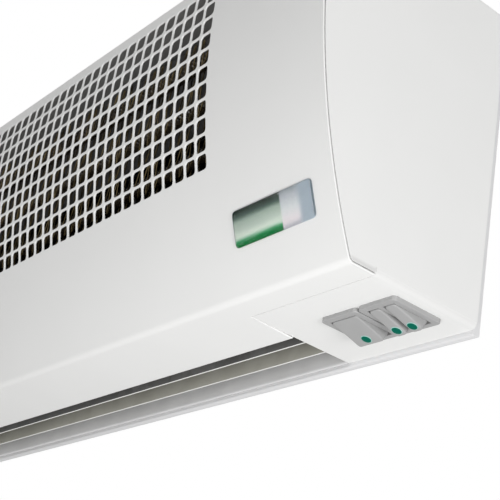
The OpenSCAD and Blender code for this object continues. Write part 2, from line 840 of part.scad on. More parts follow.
// A round thermostat on its flange, with two flat tabs
module thermal_cutout() {
    outer = wall_half + bulkhead_sheet;
    y = fan.x - cutout_forward;
    z = fan.y - cutout_below;
    color(black) union() {
        rod_x(outer, outer + cutout_height, cutout_r, y, z);
        block([outer, y - cutout_flange.y, z - cutout_flange.z],
              [outer + cutout_flange.x, y + cutout_flange.y, z + cutout_flange.z]);
        for (middle = [y - cutout_r / 2, y + cutout_r / 2]) {
            block([outer + cutout_height - eps, middle - cutout_tab.y, z - cutout_tab.z],
                  [outer + cutout_height + cutout_tab.x, middle + cutout_tab.y, z + cutout_tab.z]);
        }
    }
}

// ---- Switches ----

switch_x = [half - switch_from_side, half - switch_from_side - switch_pitch];
switch_y = rear - switch_from_rear;
bezel_lap = [1.7, 2.2];
body_half = [bezel_width / 2 - bezel_lap.x, bezel_length / 2 - bezel_lap.y];
cavity_end_gap = 0.3;
cavity_reach = key_reach * cos(key_tilt) + key_drop * sin(key_tilt) + cavity_end_gap;
cavity_above_pivot = 7;
pivot_r = pivot_d / 2;
pivot_length = 0.9;
pivot_end_gap = 0.1;
key_web = 1;
tab_pitch = 8;
tab_width = 4.8;
tab_sheet = 0.8;
tab_height = 8;

module switch_body(x, keys, key_width) {
    color(mid_grey) translate([x, switch_y, 0]) difference() {
        union() {
            translate([0, 0, -bezel_height]) linear_extrude(bezel_height)
                polygon(rounded_points(bezel_width, bezel_length, bezel_corner, 5));
            block([-body_half.x, -body_half.y, 0], [body_half.x, body_half.y, switch_body_height]);
        }
        for (k = keys) {
            wide = key_width / 2 + key_gap;
            block([k - wide, -cavity_reach, -2 * bezel_height],
                  [k + wide, cavity_reach, pivot_height + cavity_above_pivot]);
            rod_x(k - wide - pivot_length, k + wide + pivot_length, pivot_r + running_clearance, 0, pivot_height);
        }
    }
}

module switch_body_double() {
    switch_body(switch_x[0], [-0.5, 0.5] * narrow_key_pitch, narrow_key);
}

module switch_body_single() {
    switch_body(switch_x[1], [0], wide_key);
}

// A rocker drawn level about its pivot, then tilted with its rear end down
hollow_radius = (pow(key_reach, 2) + pow(key_hollow, 2)) / (2 * key_hollow);
hollow_turn = asin(key_reach / hollow_radius);
hollow_centre = [0, -key_drop - hollow_radius + key_hollow];
dot_surface = hollow_centre.y + sqrt(pow(hollow_radius, 2) - pow(dot_offset, 2));
dot_depth = 1;
dot_proud = 0.15;
dot_clearance = 0.05;

module tilted(x) {
    translate([x, switch_y, pivot_height]) rotate([-key_tilt, 0, 0]) children();
}

module key_section() {
    polygon(concat(
        arc(hollow_centre, hollow_radius, 90 + hollow_turn, 90 - hollow_turn, 12),
        [[key_reach, -key_drop / 2], [key_reach / 2, pivot_r + key_web], [-key_reach / 2, pivot_r + key_web],
         [-key_reach, -key_drop / 2]]
    ));
}

module rocker(x, key_width) {
    color(mid_grey) tilted(x) difference() {
        union() {
            along_x(-key_width / 2, key_width / 2) key_section();
            pin = key_width / 2 + key_gap + pivot_length - pivot_end_gap;
            rod_x(-pin, pin, pivot_r, 0, 0);
        }
        translate([0, dot_offset, dot_surface - eps]) cylinder(r = dot_d / 2 + dot_clearance, h = eps + dot_depth);
    }
}

module rocker_dot(x) {
    color(green) tilted(x) translate([0, dot_offset, dot_surface - dot_proud])
        cylinder(r = dot_d / 2, h = dot_proud + dot_depth);
}

module rocker_fan() { rocker(switch_x[1], wide_key); }
module rocker_fan_dot() { rocker_dot(switch_x[1]); }
module rocker_heat_low() { rocker(switch_x[0] - narrow_key_pitch / 2, narrow_key); }
module rocker_heat_low_dot() { rocker_dot(switch_x[0] - narrow_key_pitch / 2); }
module rocker_heat_high() { rocker(switch_x[0] + narrow_key_pitch / 2, narrow_key); }
module rocker_heat_high_dot() { rocker_dot(switch_x[0] + narrow_key_pitch / 2); }

module switch_terminals() {
    color(brass) for (x = switch_x, across = [-0.25, 0.25] * bezel_width, along = [-1, 0, 1] * tab_pitch) {
        translate([x + across, switch_y + along, switch_body_height + tab_height / 2])
            cube([tab_sheet, tab_width, tab_height], center = true);
    }
}

// ---- Badge ----

badge_x = half - badge_from_side - badge_width / 2;
badge_angle = 180 + asin((height - badge_middle) / front_radius);
badge_rim = 0.5;

module badge_layer(from, thick, inset) {
    on_face(badge_angle) translate([badge_x, 0, from]) linear_extrude(thick)
        polygon(rounded_points(badge_width - 2 * inset, badge_height - 2 * inset, badge_corner - inset, 6));
}

module badge_plate() {
    color(green) badge_layer(0, badge_sheet, 0);
}

module badge_dome() {
    color(clear) union() {
        badge_layer(badge_sheet, dome_height / 2, badge_rim);
        badge_layer(badge_sheet, dome_height, 3 * badge_rim);
    }
}

// ---- Connections ----

clamp_wall = 6;
clamp_height = 10;
clamp_gap = 8;
clamp_z = inlet.y - inlet_r - 2 * grommet_wall - clamp_gap;
block_z = clamp_z - clamp_height / 2 - block_gap - block_height;
block_low = [inlet.x - block_length / 2, -tray_sheet - block_depth, block_z];
pole_pitch = block_length / pole_count;
well_share = 0.3;
well_r = well_share * pole_pitch;
well_depth = 6.4;
well_clearance = 0.2;

module at_poles() {
    for (i = [0 : pole_count - 1]) {
        translate([block_low.x + (i + 0.5) * pole_pitch, block_low.y, block_z + block_height / 2])
            rotate([90, 0, 0]) children();
    }
}

module terminal_block() {
    color(ceramic) difference() {
        block(block_low, [block_low.x + block_length, -tray_sheet, block_z + block_height]);
        at_poles() translate([0, 0, -well_depth]) cylinder(r = well_r, h = well_depth + eps);
    }
}

module terminal_screws() {
    color(brass) at_poles() translate([0, 0, -well_depth]) cylinder(r = well_r - well_clearance, h = well_depth / 2);
}

module cable_grommet() {
    color(black) difference() {
        union() {
            rod_y(-tray_sheet, 0, inlet_r + grommet_wall, inlet.x, inlet.y);
            rod_y(-tray_sheet - grommet_wall, -tray_sheet, inlet_r + 2 * grommet_wall, inlet.x, inlet.y);
        }
        rod_y(-2 * tray_depth, eps, inlet_r, inlet.x, inlet.y);
    }
}

module cable_clamp() {
    wide = cable_d + clamp_wall;
    color(black) difference() {
        block([inlet.x - wide, -tray_sheet - wide, clamp_z - clamp_height / 2],
              [inlet.x + wide, -tray_sheet, clamp_z + clamp_height / 2]);
        translate([inlet.x, -tray_sheet - wide / 2, clamp_z - clamp_height])
            cylinder(r = cable_d / 2, h = 2 * clamp_height);
    }
}

stud_from_side = 24;
stud_below_block = 18;
stud_length = 14;
stud_r = 2.5;

module earth_stud() {
    x = half - stud_from_side;
    z = block_z - stud_below_block;
    color(brass) {
        rod_y(-tray_sheet - stud_length, -tray_sheet, stud_r, x, z);
        translate([x, -tray_sheet, z]) rotate([90, 0, 0]) cylinder(r = 2 * stud_r, h = screw_d, $fn = 6);
    }
}

front_cover();
right_end_panel();
left_end_panel();
rear_panel();
cover_screws();
duct_end_wall_left();
duct_end_wall_right();
scroll_panel();
duct_front_wall();
guide_vane_front();
guide_vane_rear();
fan_impeller();
impeller_hub();
impeller_journal();
motor_rotor();
motor_body();
motor_bracket();
motor_rubber_mounts();
motor_screws();
bearing_bush();
bearing_rubber();
heater_mica_strips();
heater_needles();
heater_insulators();
heater_terminals();
thermal_cutout();
switch_body_single();
switch_body_double();
switch_terminals();
rocker_fan();
rocker_fan_dot();
rocker_heat_low();
rocker_heat_low_dot();
rocker_heat_high();
rocker_heat_high_dot();
badge_plate();
badge_dome();
terminal_block();
terminal_screws();
cable_grommet();
cable_clamp();
earth_stud();
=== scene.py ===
# %% [markdown]
# # A wall-mounted air curtain, dressed for its picture
# The exact solids of this machine come from its CAD model. This lesson loads them as a fixed
# frame and gives them the softer forms and the real finishes that a camera sees: rolled sheet
# edges, round-cornered punched holes, moulded switches and a domed badge.
# Everything is written in millimetres, as on a drawing, and turned into metres in one place.

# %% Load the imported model
import json
from math import asin, cos, degrees, pi, radians, sin, sqrt

import bmesh
import bpy
from mathutils import Matrix, Vector


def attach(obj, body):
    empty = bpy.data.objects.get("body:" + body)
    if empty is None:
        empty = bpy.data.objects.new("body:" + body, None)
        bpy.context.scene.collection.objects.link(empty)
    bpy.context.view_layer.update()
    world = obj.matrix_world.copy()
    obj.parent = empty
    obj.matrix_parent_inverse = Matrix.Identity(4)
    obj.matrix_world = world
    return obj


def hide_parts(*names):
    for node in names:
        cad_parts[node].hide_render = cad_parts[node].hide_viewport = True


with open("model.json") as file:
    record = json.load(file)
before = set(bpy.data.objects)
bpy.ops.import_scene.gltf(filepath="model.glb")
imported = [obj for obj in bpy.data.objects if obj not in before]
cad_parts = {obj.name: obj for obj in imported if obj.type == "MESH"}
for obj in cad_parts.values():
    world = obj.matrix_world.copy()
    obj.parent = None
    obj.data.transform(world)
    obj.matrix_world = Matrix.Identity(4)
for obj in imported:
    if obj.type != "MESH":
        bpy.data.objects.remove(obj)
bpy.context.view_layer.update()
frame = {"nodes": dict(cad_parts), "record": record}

MM = 0.001
nodes = frame["nodes"]

# %% [markdown]
# The camera comes first, because every later choice is judged through it. It looks up at the
# switch end from below, as a person does who stands in the doorway. Its place and its three
# axes were worked out from the straight edges of the photograph, so they are simply written down.

# %% Camera
camera_data = bpy.data.cameras.new("photo_camera")
camera = bpy.data.objects.new("photo_camera", camera_data)
bpy.context.scene.collection.objects.link(camera)
bpy.context.scene.camera = camera
camera_data.sensor_width = 36
camera_data.lens = 88.87
camera_data.shift_y = 0.002
camera_data.clip_start = 0.01
camera.matrix_world = Matrix((
    (0.61747, 0.24904, 0.74613, 0.68028),
    (0.76870, -0.39221, -0.50525, -0.39649),
    (0.16681, 0.88553, -0.43361, -0.23838),
    (0, 0, 0, 1),
))
switch_end = Vector((0.3, -0.06, 0.09))
print("camera stands", round((camera.location - switch_end).length, 2), "m from the switch end")

# %% [markdown]
# Finishes are built from shader nodes. A colour is easiest to pick in the hex form of a paint
# or screen chart, but the shader needs linear light, so one function turns hex into linear.
# Another adds a node, sets it and links it, so that a recipe reads as a list. A third opens a
# new finish and gives its shader and the position on the part, from which every pattern takes
# its real size. A Mix node has sockets of the same name for numbers, vectors and colours, so those
# for colours are found by their places, which get names first.

# %% Helpers for finishes
AMOUNT, UNDER, OVER, BLEND = 0, 6, 7, 2


def colour(code):
    channels = [int(code[i:i + 2], 16) / 255 for i in (0, 2, 4)]
    return [c / 12.92 if c <= 0.04045 else ((c + 0.055) / 1.055) ** 2.4 for c in channels] + [1]


def put(tree, kind, inputs=None, **settings):
    """Adds a shader node. inputs holds a socket to link from, or a value, for each input."""
    made = tree.nodes.new("ShaderNode" + kind)
    for key, value in settings.items():
        setattr(made, key, value)
    for key, value in (inputs or {}).items():
        if isinstance(value, bpy.types.NodeSocket):
            tree.links.new(value, made.inputs[key])
        else:
            made.inputs[key].default_value = value
    return made


def new_finish(name, **shader_inputs):
    finish = bpy.data.materials.new(name)
    finish.use_nodes = True
    tree = finish.node_tree
    shader = tree.nodes["Principled BSDF"]
    for key, value in shader_inputs.items():
        shader.inputs[key.replace("_", " ")].default_value = value
    place = put(tree, "TexCoord").outputs["Object"]
    return finish, tree, shader, place


def per_mm(size):
    """The scale of a pattern whose features are size millimetres apart."""
    return 1 / (size * MM)


print("white in linear light:", round(colour("EDEDEB")[0], 3))

# %% [markdown]
# Most surfaces give the eye the same pair of things: two tones that a pattern spreads over them, and
# a fine relief that breaks the gloss. One recipe lays that pair on a shader, for any pattern.
# Many of the small parts are moulded, fired or drawn from one plain material. Their tones drift into
# each other in soft patches, under an even grain, so a second recipe makes such a finish whole, and
# each material brings its own sizes, tones and gloss. A flat colour would be shorter, but looks like
# fresh paint.

# %% Two tones and a relief
def dress(tree, shader, pattern, tones, grain, relief):
    """Two tones by a pattern, and by a grain a relief, given as a depth in millimetres and a strength."""
    low, high = tones
    depth, strength = relief
    blend = put(tree, "Mix", {AMOUNT: pattern, UNDER: colour(low), OVER: colour(high)}, data_type="RGBA")
    tree.links.new(blend.outputs[BLEND], shader.inputs["Base Color"])
    bump = put(tree, "Bump", {"Height": grain, "Distance": depth * MM, "Strength": strength})
    tree.links.new(bump.outputs["Normal"], shader.inputs["Normal"])


def patchy_finish(name, tones, patch, grain, relief, **shader_inputs):
    """Two tones in soft patches under a grain, each given as a size in millimetres and a detail."""
    finish, tree, shader, place = new_finish(name, **shader_inputs)
    patches, fine = [
        put(tree, "TexNoise", {"Vector": place, "Scale": per_mm(size), "Detail": detail}).outputs["Fac"]
        for size, detail in (patch, grain)
    ]
    dress(tree, shader, patches, tones, fine, relief)
    return finish


print("recipes for two tones and a relief ready")

# %% [markdown]
# The casing is steel sheet with a polyester powder coat. The powder is sprayed on dry and baked,
# so it flows into a satin skin with a very fine orange peel. The eye reads it as a soft, wide
# gloss and a faint mottle. Real orange peel is about 1 mm from crest to crest, and only a few
# hundredths of a millimetre deep. Painting it as a plain white would look like paper.
#
# The tray at the back is a shade greyer on its underside, and its side flange beside the end sheets,
# which sits in a recess, is painted darker grey as shade. The inside of the cover is painted dark
# grey, a painted shade for the dim inside of the machine. Round the tight bend below each side the
# white is painted a shade lower, a painted shade that tones down the bend's highlight. Where such a
# place begins and where it is full is given in millimetres from the middle of the machine, or above its
# underside.

# %% Powder-coated steel, satin white
FLANGE_SHADE_FROM, BEND_SHADE_FROM, BEND_SHADE_DOWN = (300.3, 301.2), (297.5, 299.0), (4.0, 2.5)
WHITE = ("EBEBEA", "F0F0EF")


def powder_finish(name, tones, flange_shade=None, bend=None):
    """A satin powder coat. The last two arguments are tones of painted shade: on the side flange, and on the
    lower side bend.
    """
    finish, tree, shader, place = new_finish(name, Roughness=0.42, IOR=1.5)
    cloud = put(tree, "TexNoise", {"Vector": place, "Scale": per_mm(60), "Detail": 2.0}).outputs["Fac"]
    parts = put(tree, "SeparateXYZ", {"Vector": place}).outputs
    from_middle = put(tree, "Math", {0: parts["X"]}, operation="ABSOLUTE").outputs["Value"]
    layers = [(cloud, tones[1])]
    # The side flange sits in a recess, and its darker tone there is painted shade.
    if flange_shade:
        start, full = FLANGE_SHADE_FROM
        flange_shade_range = {"Value": from_middle, "From Min": start * MM, "From Max": full * MM}
        layers.append((put(tree, "MapRange", flange_shade_range).outputs["Result"], flange_shade))
    # The lower side bend gets a lower white, a painted shade over its highlight.
    if bend:
        outward, down = [
            put(tree, "MapRange", {"Value": value, "From Min": start * MM, "From Max": full * MM})
            for value, (start, full) in ((from_middle, BEND_SHADE_FROM), (parts["Z"], BEND_SHADE_DOWN))
        ]
        corner = {0: outward.outputs["Result"], 1: down.outputs["Result"]}
        layers.append((put(tree, "Math", corner, operation="MULTIPLY").outputs["Value"], bend))
    coat = colour(tones[0])
    for amount, tone in layers:
        over_it = {AMOUNT: amount, UNDER: coat, OVER: colour(tone)}
        coat = put(tree, "Mix", over_it, data_type="RGBA").outputs[BLEND]
    tree.links.new(coat, shader.inputs["Base Color"])
    peel = put(tree, "TexNoise", {"Vector": place, "Scale": per_mm(1.3), "Detail": 1.0}).outputs["Fac"]
    bump = put(tree, "Bump", {"Height": peel, "Distance": 0.015 * MM, "Strength": 0.35})
    tree.links.new(bump.outputs["Normal"], shader.inputs["Normal"])
    return finish


powder_coat = powder_finish("powder_coat_satin_white", WHITE)
# The tray's side flange and the side sheets' lower bend carry painted shade.
shaded_tray_coat = powder_finish("powder_coat_tray_painted_shade", ("DCDCDD", "E2E2E3"), flange_shade="B4B4BA")
side_coat_bend_shade = powder_finish("powder_coat_side_sheet_bend_shade", WHITE, bend="DCDCDB")
# The cover's inside is painted dark grey: painted shade for the dim inside of the machine.
shaded_inside_coat = powder_finish("powder_coat_painted_shade_inside", ("7E7D7C", "908F8D"))
print(powder_coat.name, shaded_tray_coat.name, side_coat_bend_shade.name, shaded_inside_coat.name)

# %% [markdown]
# The duct walls, the guide vanes and the brackets are galvanised sheet, rolled and matted, as it is
# sold for appliances. The zinc froze in crystals some 6 to 12 mm across, and each of them shines a
# little differently. A cell pattern gives every crystal its own tone and gloss, kept close
# together. The matt zinc salts on it scatter light, so it is only partly metallic to the eye.
# Inside the outlet the zinc carries painted light and shade: a painted highlight on the cut edge,
# darker painted shade higher up, and a deep painted shade behind the fan. So the recipe is a
# function that takes a tone at the outlet and a shaded tone. The two painted shades each begin and
# are full at a height above the underside, in millimetres.

# %% Galvanised steel sheet
SHADE_FROM, DEEP_SHADE_FROM = (3.5, 13.0), (20.0, 50.0)


def galvanised_finish(name, outlet_tone, shaded_tone, highlight_top=-1.0):
    """Spangled zinc, with painted shade above the outlet and a painted highlight on the cut edge below a
    height in mm.
    """
    finish, tree, shader, place = new_finish(name, Metallic=0.45)
    spangle = put(tree, "TexVoronoi", {"Vector": place, "Scale": per_mm(9)}, feature="F1").outputs["Color"]
    tone = put(tree, "SeparateColor", {"Color": spangle}).outputs["Red"]
    above = put(tree, "SeparateXYZ", {"Vector": place}).outputs["Z"]
    zinc = colour(outlet_tone)
    # Two layers of painted shade: darker higher up in the outlet, and a deep shade behind the fan.
    for (start, full), shade_layer in ((SHADE_FROM, shaded_tone), (DEEP_SHADE_FROM, "2E2C2A")):
        amount = put(tree, "MapRange", {"Value": above, "From Min": start * MM, "From Max": full * MM})
        over_it = {AMOUNT: amount.outputs["Result"], UNDER: zinc, OVER: colour(shade_layer)}
        zinc = put(tree, "Mix", over_it, data_type="RGBA").outputs[BLEND]
    paler = put(tree, "Mix", {AMOUNT: 0.06, UNDER: zinc, OVER: colour("FFFFFF")}, data_type="RGBA")
    crystals = put(tree, "Mix", {AMOUNT: tone, UNDER: zinc, OVER: paler.outputs[BLEND]}, data_type="RGBA")
    # A painted highlight on the lower cut edge.
    on_highlight_edge = put(tree, "Math", {0: above, 1: highlight_top * MM}, operation="LESS_THAN").outputs["Value"]
    painted_edge_highlight = {AMOUNT: on_highlight_edge, UNDER: crystals.outputs[BLEND], OVER: colour("F6F6F4")}
    whole = put(tree, "Mix", painted_edge_highlight, data_type="RGBA").outputs[BLEND]
    tree.links.new(whole, shader.inputs["Base Color"])
    gloss = put(tree, "MapRange", {"Value": tone, "To Min": 0.5, "To Max": 0.6}).outputs["Result"]
    tree.links.new(gloss, shader.inputs["Roughness"])
    grain = put(tree, "TexNoise", {"Vector": place, "Scale": per_mm(0.8)}).outputs["Fac"]
    bump = put(tree, "Bump", {"Height": grain, "Distance": 0.01 * MM, "Strength": 0.3})
    tree.links.new(bump.outputs["Normal"], shader.inputs["Normal"])
    return finish


# The duct walls and brackets take this zinc too, with its painted shade by height.
galvanised = galvanised_finish("galvanised_sheet_painted_shade", "C9C9C5", "C2C2BE")
print(galvanised.name)

# %% [markdown]
# Screws and shafts are bright zinc-plated steel: a thin, even plating over a machined surface.
# Real turning marks are a few tenths of a millimetre apart. They are drawn about 1.9 mm apart,
# coarse enough to show, and break up the reflection. A wave texture turns through 20 radians for
# each unit of its scale, which gives the scale for that step.

# %% Zinc-plated steel
plated, tree, shader, place = new_finish("zinc_plated_steel", Metallic=1.0, Roughness=0.3)
WAVE_RADIANS, MARK_STEP = 20, 0.6 * pi
turned = {"Vector": place, "Scale": 2 * pi / WAVE_RADIANS * per_mm(MARK_STEP), "Distortion": 1.0}
marks = put(tree, "TexWave", turned, bands_direction="X").outputs["Fac"]
dress(tree, shader, marks, ("A9ABAE", "C2C4C6"), marks, (0.01, 0.2))
print(plated.name)

# %% [markdown]
# The impeller is rolled from aluminium strip and left as it comes from the mill. Its colour is
# painted nearly black as shade, for the dim inside of the machine, with the rolling lines still running
# along the blades. The noise is stretched along X to draw those lines.

# %% Mill aluminium, painted dark as shade
shaded_mill_aluminium, tree, shader, place = new_finish("shaded_mill_aluminium", Metallic=1.0)
along = put(tree, "Mapping", {"Vector": place, "Scale": (0.03, 1, 1)}).outputs["Vector"]
rolled = put(tree, "TexNoise", {"Vector": along, "Scale": per_mm(0.7), "Detail": 3.0}).outputs["Fac"]
dull = put(tree, "MapRange", {"Value": rolled, "To Min": 0.35, "To Max": 0.6}).outputs["Result"]
tree.links.new(dull, shader.inputs["Roughness"])
dress(tree, shader, rolled, ("171718", "2C2D2E"), rolled, (0.02, 0.4))
print(shaded_mill_aluminium.name)

# %% [markdown]
# Grommets, motor mounts and the impeller hub are moulded nitrile rubber: nearly black, matt, with
# the dusty bloom that rubber gets. Here the patches are that bloom, between two very dark greys.

# %% Moulded black rubber
rubber = patchy_finish("nitrile_rubber", ("1B1B1C", "2C2C2D"), patch=(5, 4.0), grain=(0.5, 2.0),
                       relief=(0.03, 0.5), Roughness=0.75, IOR=1.52)
print(rubber.name)

# %% [markdown]
# The motor can is dipped in black stoving enamel. Its gloss is soft, and dust settles in it as
# fine specks, which a tight noise turns into small changes of roughness.

# %% Stoving enamel on the motor
enamel, tree, shader, place = new_finish("stoving_enamel", IOR=1.5)
specks = put(tree, "TexNoise", {"Vector": place, "Scale": per_mm(1.5), "Detail": 5.0}).outputs["Fac"]
tones = {AMOUNT: specks, UNDER: colour("2A2B2D"), OVER: colour("3A3B3D")}
tree.links.new(put(tree, "Mix", tones, data_type="RGBA").outputs[BLEND], shader.inputs["Base Color"])
satin = put(tree, "MapRange", {"Value": specks, "To Min": 0.3, "To Max": 0.5}).outputs["Result"]
tree.links.new(satin, shader.inputs["Roughness"])
print(enamel.name)

# %% [markdown]
# The bearing bush is sintered bronze, pressed from powder and soaked in oil. It keeps tiny pores,
# a few tenths of a millimetre apart, so it looks granular and a little dark.

# %% Sintered bronze
bronze, tree, shader, place = new_finish("sintered_bronze", Metallic=1.0, Roughness=0.45)
pores = put(tree, "TexVoronoi", {"Vector": place, "Scale": per_mm(0.5)}).outputs["Distance"]
dress(tree, shader, pores, ("6E4A22", "B08448"), pores, (0.05, 0.5))
print(bronze.name)

# %% [markdown]
# The heater strips are mica board, flakes of mica pressed together with a little resin. It is a
# golden brown, patchy, painted darker here as shade for the dim space behind the grille, and glints
# where a flake lies flat. Flakes are drawn 3 mm across.

# %% Pressed mica board
mica, tree, shader, place = new_finish("pressed_mica_board", IOR=1.58)
flakes = put(tree, "TexVoronoi", {"Vector": place, "Scale": per_mm(3)}).outputs["Color"]
flake = put(tree, "SeparateColor", {"Color": flakes}).outputs["Green"]
glint = put(tree, "MapRange", {"Value": flake, "To Min": 0.25, "To Max": 0.6}).outputs["Result"]
tree.links.new(glint, shader.inputs["Roughness"])
dress(tree, shader, flake, ("221C14", "42382A"), flake, (0.03, 0.4))
print(mica.name)

# %% [markdown]
# The heating wire is nickel-chromium that has been red hot many times. Its oxide skin is dark
# olive brown, and where it rubs or runs hottest a dull gold shows through. Both tones are painted
# darker as shade, for the dim space behind the grille.

# %% Oxidised heating wire
hot_wire, tree, shader, place = new_finish("oxidised_nickel_chromium", Metallic=1.0, Roughness=0.38)
heat = put(tree, "TexNoise", {"Vector": place, "Scale": per_mm(12), "Detail": 3.0}).outputs["Fac"]
spread = put(tree, "MapRange", {"Value": heat, "From Min": 0.35, "From Max": 0.65}).outputs["Result"]
scale = put(tree, "TexNoise", {"Vector": place, "Scale": per_mm(0.6)}).outputs["Fac"]
dress(tree, shader, spread, ("2A251A", "786A4C"), scale, (0.02, 0.5))
print(hot_wire.name)

# %% [markdown]
# The holders of the strips are steatite, a dense electrical ceramic, fired without a glaze. It is
# creamy white and fine-grained, with a dry sheen.

# %% Steatite ceramic
steatite = patchy_finish("steatite_ceramic", ("DDD8CB", "EFECE4"), patch=(4, 3.0), grain=(0.4, 2.0),
                         relief=(0.02, 0.4), Roughness=0.5, IOR=1.6)
print(steatite.name)

# %% [markdown]
# Pins, tabs and terminal screws are bare brass. It tarnishes unevenly, so the patches run from
# brown to yellow, under a faint grain.

# %% Bare brass
brass = patchy_finish("bare_brass", ("8F7136", "C9A85A"), patch=(6, 4.0), grain=(0.5, 2.0),
                      relief=(0.01, 0.3), Metallic=1.0, Roughness=0.32)
print(brass.name)

# %% [markdown]
# The cut-out and the cable clamp are moulded phenolic, a hard black plastic with a slight gloss
# and a fine grain from its wood-flour filler.

# %% Moulded phenolic
phenolic = patchy_finish("moulded_phenolic", ("18181A", "29282A"), patch=(0.8, 5.0), grain=(0.8, 5.0),
                         relief=(0.02, 0.4), Roughness=0.4, IOR=1.6)
print(phenolic.name)

# %% [markdown]
# The switches are moulded in mid-grey nylon from a spark-eroded mould, which leaves an even, fine
# matt grain of about 0.25 mm. The grain spreads the light, so the keys look soft and dry.

# %% Moulded grey nylon
grey_nylon = patchy_finish("moulded_grey_nylon", ("9D9D9D", "A5A5A5"), patch=(8, 2.0), grain=(0.25, 2.0),
                           relief=(0.02, 0.35), Roughness=0.48, IOR=1.53)
print(grey_nylon.name)

# %% [markdown]
# Each key carries a round green lens of tinted polycarbonate. Round its rim, where the lens curves
# down, a paler green is a painted highlight. That rim is found from the distance to the middle
# of the lens, so each lens gets its own copy of this finish. Its gloss is held back, because the
# white surroundings would wash the green out in their reflection.

# %% Green polycarbonate lens
RIM_HIGHLIGHT_FROM = (0.86, 0.92)


def lens_finish(name, middle, axis, radius):
    """A green lens with a painted highlight in the outer tenth of its radius. middle and radius are in
    metres.
    """
    finish, tree, shader, place = new_finish(name, Roughness=0.35, IOR=1.58, Specular_IOR_Level=0.02)
    away = put(tree, "VectorMath", {0: place, 1: middle}, operation="SUBTRACT").outputs["Vector"]
    across = put(tree, "VectorMath", {0: away, 1: axis}, operation="CROSS_PRODUCT").outputs["Vector"]
    length = put(tree, "VectorMath", {0: across}, operation="LENGTH").outputs["Value"]
    # The paler rim is a painted highlight.
    outer = {"Value": length, "From Min": radius * RIM_HIGHLIGHT_FROM[0], "From Max": radius * RIM_HIGHLIGHT_FROM[1]}
    rim = put(tree, "MapRange", outer).outputs["Result"]
    haze = put(tree, "TexNoise", {"Vector": place, "Scale": per_mm(0.8)}).outputs["Fac"]
    dress(tree, shader, rim, ("006350", "A4CFC8"), haze, (0.01, 0.2))
    return finish


print("lens recipe ready")

# %% [markdown]
# The badge is a printed foil under a drop of clear resin, which is cast polyurethane, clear as
# glass. A solid glass shader would keep the lamps from the print below it, as Cycles doesn't trace
# their light through glass, so only a trace of the resin refracts and the rest lets light straight
# through. The foil's print follows the badge's own width and height, so it comes with the badge.

# %% Cast clear resin
clear_resin = patchy_finish("cast_clear_resin", ("F6FAF8", "FFFFFF"), patch=(7, 2.0), grain=(7, 2.0),
                            relief=(0.05, 0.2), Roughness=0.06, IOR=1.5, Alpha=0.04,
                            Transmission_Weight=1.0)
print(clear_resin.name)

# %% [markdown]
# The terminal block is moulded polyamide, ivory white, with a faint flow pattern from the mould.

# %% Moulded ivory polyamide
ivory, tree, shader, place = new_finish("moulded_ivory_polyamide", Roughness=0.5, IOR=1.53)
flow = put(tree, "TexNoise", {"Vector": place, "Scale": per_mm(10), "Distortion": 1.5}).outputs["Fac"]
fine = put(tree, "TexNoise", {"Vector": place, "Scale": per_mm(0.4)}).outputs["Fac"]
dress(tree, shader, flow, ("D8D3C6", "E6E2D8"), fine, (0.02, 0.3))
print(ivory.name)

# %% [markdown]
# Every CAD node starts with the finish of its slot in the record, so that nothing is bare. Pieces
# that deserve a better form are then built anew and take the place of their nodes. Ten of the nodes
# that stay get a small bevel, because no real edge is perfectly sharp and it is the rounded edge that
# catches light. Their triangles are welded first, since a bevel needs joined faces.

# %% Finishes for the CAD nodes
slot_finish = {
    "white_powder_coat": powder_coat, "zinc_steel": galvanised, "screw_steel": plated,
    "impeller_aluminium": shaded_mill_aluminium, "black_rubber": rubber, "motor_enamel": enamel,
    "bush_bronze": bronze, "mica_board": mica, "heating_wire": hot_wire, "white_ceramic": steatite,
    "terminal_brass": brass, "black_plastic": phenolic, "grey_plastic": grey_nylon,
    "block_plastic": ivory, "badge_resin": clear_resin, "badge_print": grey_nylon, "green_lens": grey_nylon,
}
node_slot = {part["node"]: part["material_slot"] for part in frame["record"]["subparts"]}


def soften(piece, width_mm, segments=2, angle=35):
    """Rounds the sharp edges of a piece and keeps its flats flat in the light."""
    bevel = piece.modifiers.new("soft_edges", "BEVEL")
    bevel.width = width_mm * MM
    bevel.segments = segments
    bevel.limit_method = "ANGLE"
    bevel.angle_limit = radians(angle)
    bevel.use_clamp_overlap = True
    piece.modifiers.new("even_light", "WEIGHTED_NORMAL").keep_sharp = True


for name, node in nodes.items():
    node.data.materials.clear()
    node.data.materials.append(slot_finish[node_slot[name]])
# The tray gets the coat with painted shade on its side flange.
nodes["rear_panel"].data.materials[0] = shaded_tray_coat
for name in ("rear_panel", "duct_end_wall_left", "duct_end_wall_right", "motor_body", "motor_bracket",
             "terminal_block", "cable_clamp", "heater_insulators", "thermal_cutout", "cable_grommet"):
    weld = nodes[name].modifiers.new("weld", "WELD")
    weld.merge_threshold = 0.01 * MM
    soften(nodes[name], 0.25)
print("finishes given to", len(nodes), "nodes")

# %% [markdown]
# Most of this machine is folded sheet. A folded sheet is easiest to make as one thin skin: a line
# seen from the end, repeated at a row of stations along X and joined by quads. Thickness comes
# afterwards from a Solidify modifier, which also walls every hole. The alternative, modelling both
# sides by hand, doubles the work and never stays even.

# %% Helpers for meshes
def arc(centre, radius, start, end, steps):
    """Points on an arc in the end view, as (y, z), from one angle to the other in degrees."""
    turns = [radians(start + (end - start) * i / steps) for i in range(steps + 1)]
    return [(centre[0] + radius * cos(t), centre[1] + radius * sin(t)) for t in turns]


def skin(line, stations, keep=None):
    """A grid from a line of (y, z) points and a row of x stations, without the cells that keep refuses."""
    points = [(x, y, z) for x in stations for y, z in line]
    rows = len(line)
    faces = [
        (i * rows + j, (i + 1) * rows + j, (i + 1) * rows + j + 1, i * rows + j + 1)
        for i in range(len(stations) - 1) for j in range(rows - 1) if keep is None or keep(i, j)
    ]
    return points, faces


